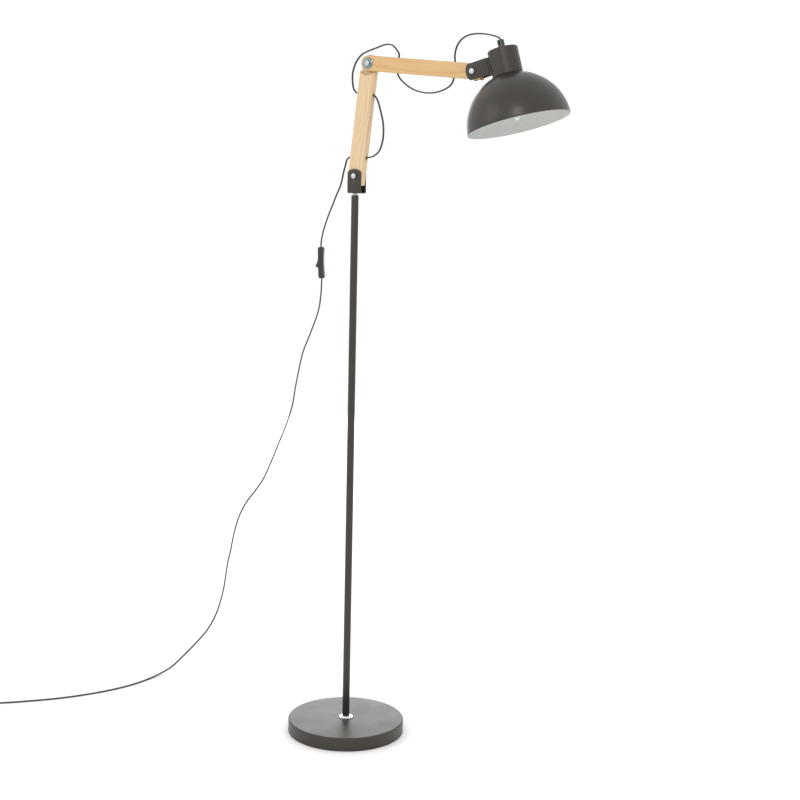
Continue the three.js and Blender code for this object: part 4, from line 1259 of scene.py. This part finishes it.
def felt():
    look = Look("felt")
    fibres = look.noise(0.0006, 6.0, contrast=0.75, warp=1.5)
    cloud = look.noise(0.02, 3.0)
    colour = look.ramp(
        look.maths("MULTIPLY", look.maths("ADD", fibres, cloud), 0.5), (0.35, linear(34, 34, 35)),
        (0.65, linear(66, 65, 64)),
    )
    look.set(Base_Color=colour, Roughness=0.95, Normal=look.bump(fibres, 0.0004))
    look.set(Sheen_Weight=0.35)
    return look.material


def opal_glass():
    look = Look("opal_glass")
    cloud = look.noise(0.02, 3.0)
    colour = look.ramp(cloud, (0.3, linear(222, 221, 214)), (0.7, linear(230, 229, 223)))
    look.set(
        Base_Color=colour, Roughness=look.ranged(cloud, 0.16, 0.24),
        Normal=look.bump(look.noise(0.006, 2.0), 0.00002),
    )
    look.set(Subsurface_Weight=0.4, Subsurface_Radius=(0.01, 0.01, 0.01))
    return look.material


looks = {"cast_iron": cast_iron(), "felt": felt(), "bulb_glass": opal_glass(), "cord_sheath": sheath()}
for name, dark, light, roughness in (
    ("black_coat", (34, 29, 24), (41, 35, 30), 0.4),
    ("shade_coat", (34, 31, 27), (41, 37, 33), 0.34),
    ("shade_inside", (196, 199, 196), (206, 209, 205), 0.5),
):
    looks[name] = powder_coat(name, linear(*dark), linear(*light), roughness)
for name, colour, *finish in (
    ("chrome", (232, 234, 236), 0.06, 0.08, 0.01),
    ("zinc_steel", (202, 207, 206), 0.26, 0.14, 0.004, 0.05),
    ("blued_steel", (124, 144, 150), 0.2, 0.1, 0.004, 0.04),
    ("brass", (226, 214, 186), 0.16, 0.12, 0.006, 0.04),
):
    looks[name] = bright_metal(name, linear(*colour), *finish)
for name, place, warmth in (
    ("lower_bar_pine", (0.4, 0.013, 0.021), 0.0),
    ("upper_bar_pine", (0.1, 0.041, -0.017), 1.0),
):
    looks[name] = pine(name, place, warmth)
for name, dark, light, *finish in (
    ("black_plastic", (20, 19, 18), (27, 25, 24), 0.22, 0.0009, 0.00001, 0.4),
    ("switch_plastic", (42, 37, 33), (52, 46, 41), 0.36, 0.0005, 0.00003),
    ("plug_plastic", (40, 36, 32), (50, 45, 40), 0.42, 0.0005, 0.00004),
    ("holder", (228, 227, 220), (238, 237, 231), 0.2, 0.002, 0.00001, 0.5),
    ("nylon", (206, 216, 222), (222, 230, 234), 0.4, 0.0006, 0.00001),
):
    looks[name] = moulded(name, linear(*dark), linear(*light), *finish)


def show(piece, names):
    """Gives a mesh its looks; each face keeps the number of its look."""
    mesh = piece.data
    numbers = np.zeros(len(mesh.polygons), np.int32)
    mesh.polygons.foreach_get("material_index", numbers)
    mesh.materials.clear()
    for name in names:
        mesh.materials.append(looks[name])
    mesh.polygons.foreach_set("material_index", numbers)


for node_name, node in frame["nodes"].items():
    slot = slot_of_node[node_name]
    show(node, [node_name.replace("arm", "bar") + "_pine" if slot == "pine" else slot])
for piece, names in pieces_by_slot:
    show(piece, names)
for cord in cords:
    show(cord, ["cord_sheath"])

# Floor.
FLOOR_HALF = 30
FLOOR_DROP = 0.0002  # below the pad's underside, so that the two don't fight
floor_mesh = bpy.data.meshes.new("floor")
floor_corners = [(x * FLOOR_HALF, y * FLOOR_HALF, 0) for x, y in ((-1, -1), (1, -1), (1, 1), (-1, 1))]
floor_mesh.from_pydata(floor_corners, [], [(0, 1, 2, 3)])
floor = placed("floor", floor_mesh, Matrix.Translation((0, 0, -FLOOR_DROP)))
paper = Look("paper")
tones = paper.ramp(paper.noise(0.4, 2.0), (0.3, (0.97, 0.97, 0.97, 1)), (0.7, (0.985, 0.985, 0.985, 1)))
paper.set(Base_Color=tones, Roughness=0.9)
floor_mesh.materials.append(paper.material)

bpy.context.view_layer.update()
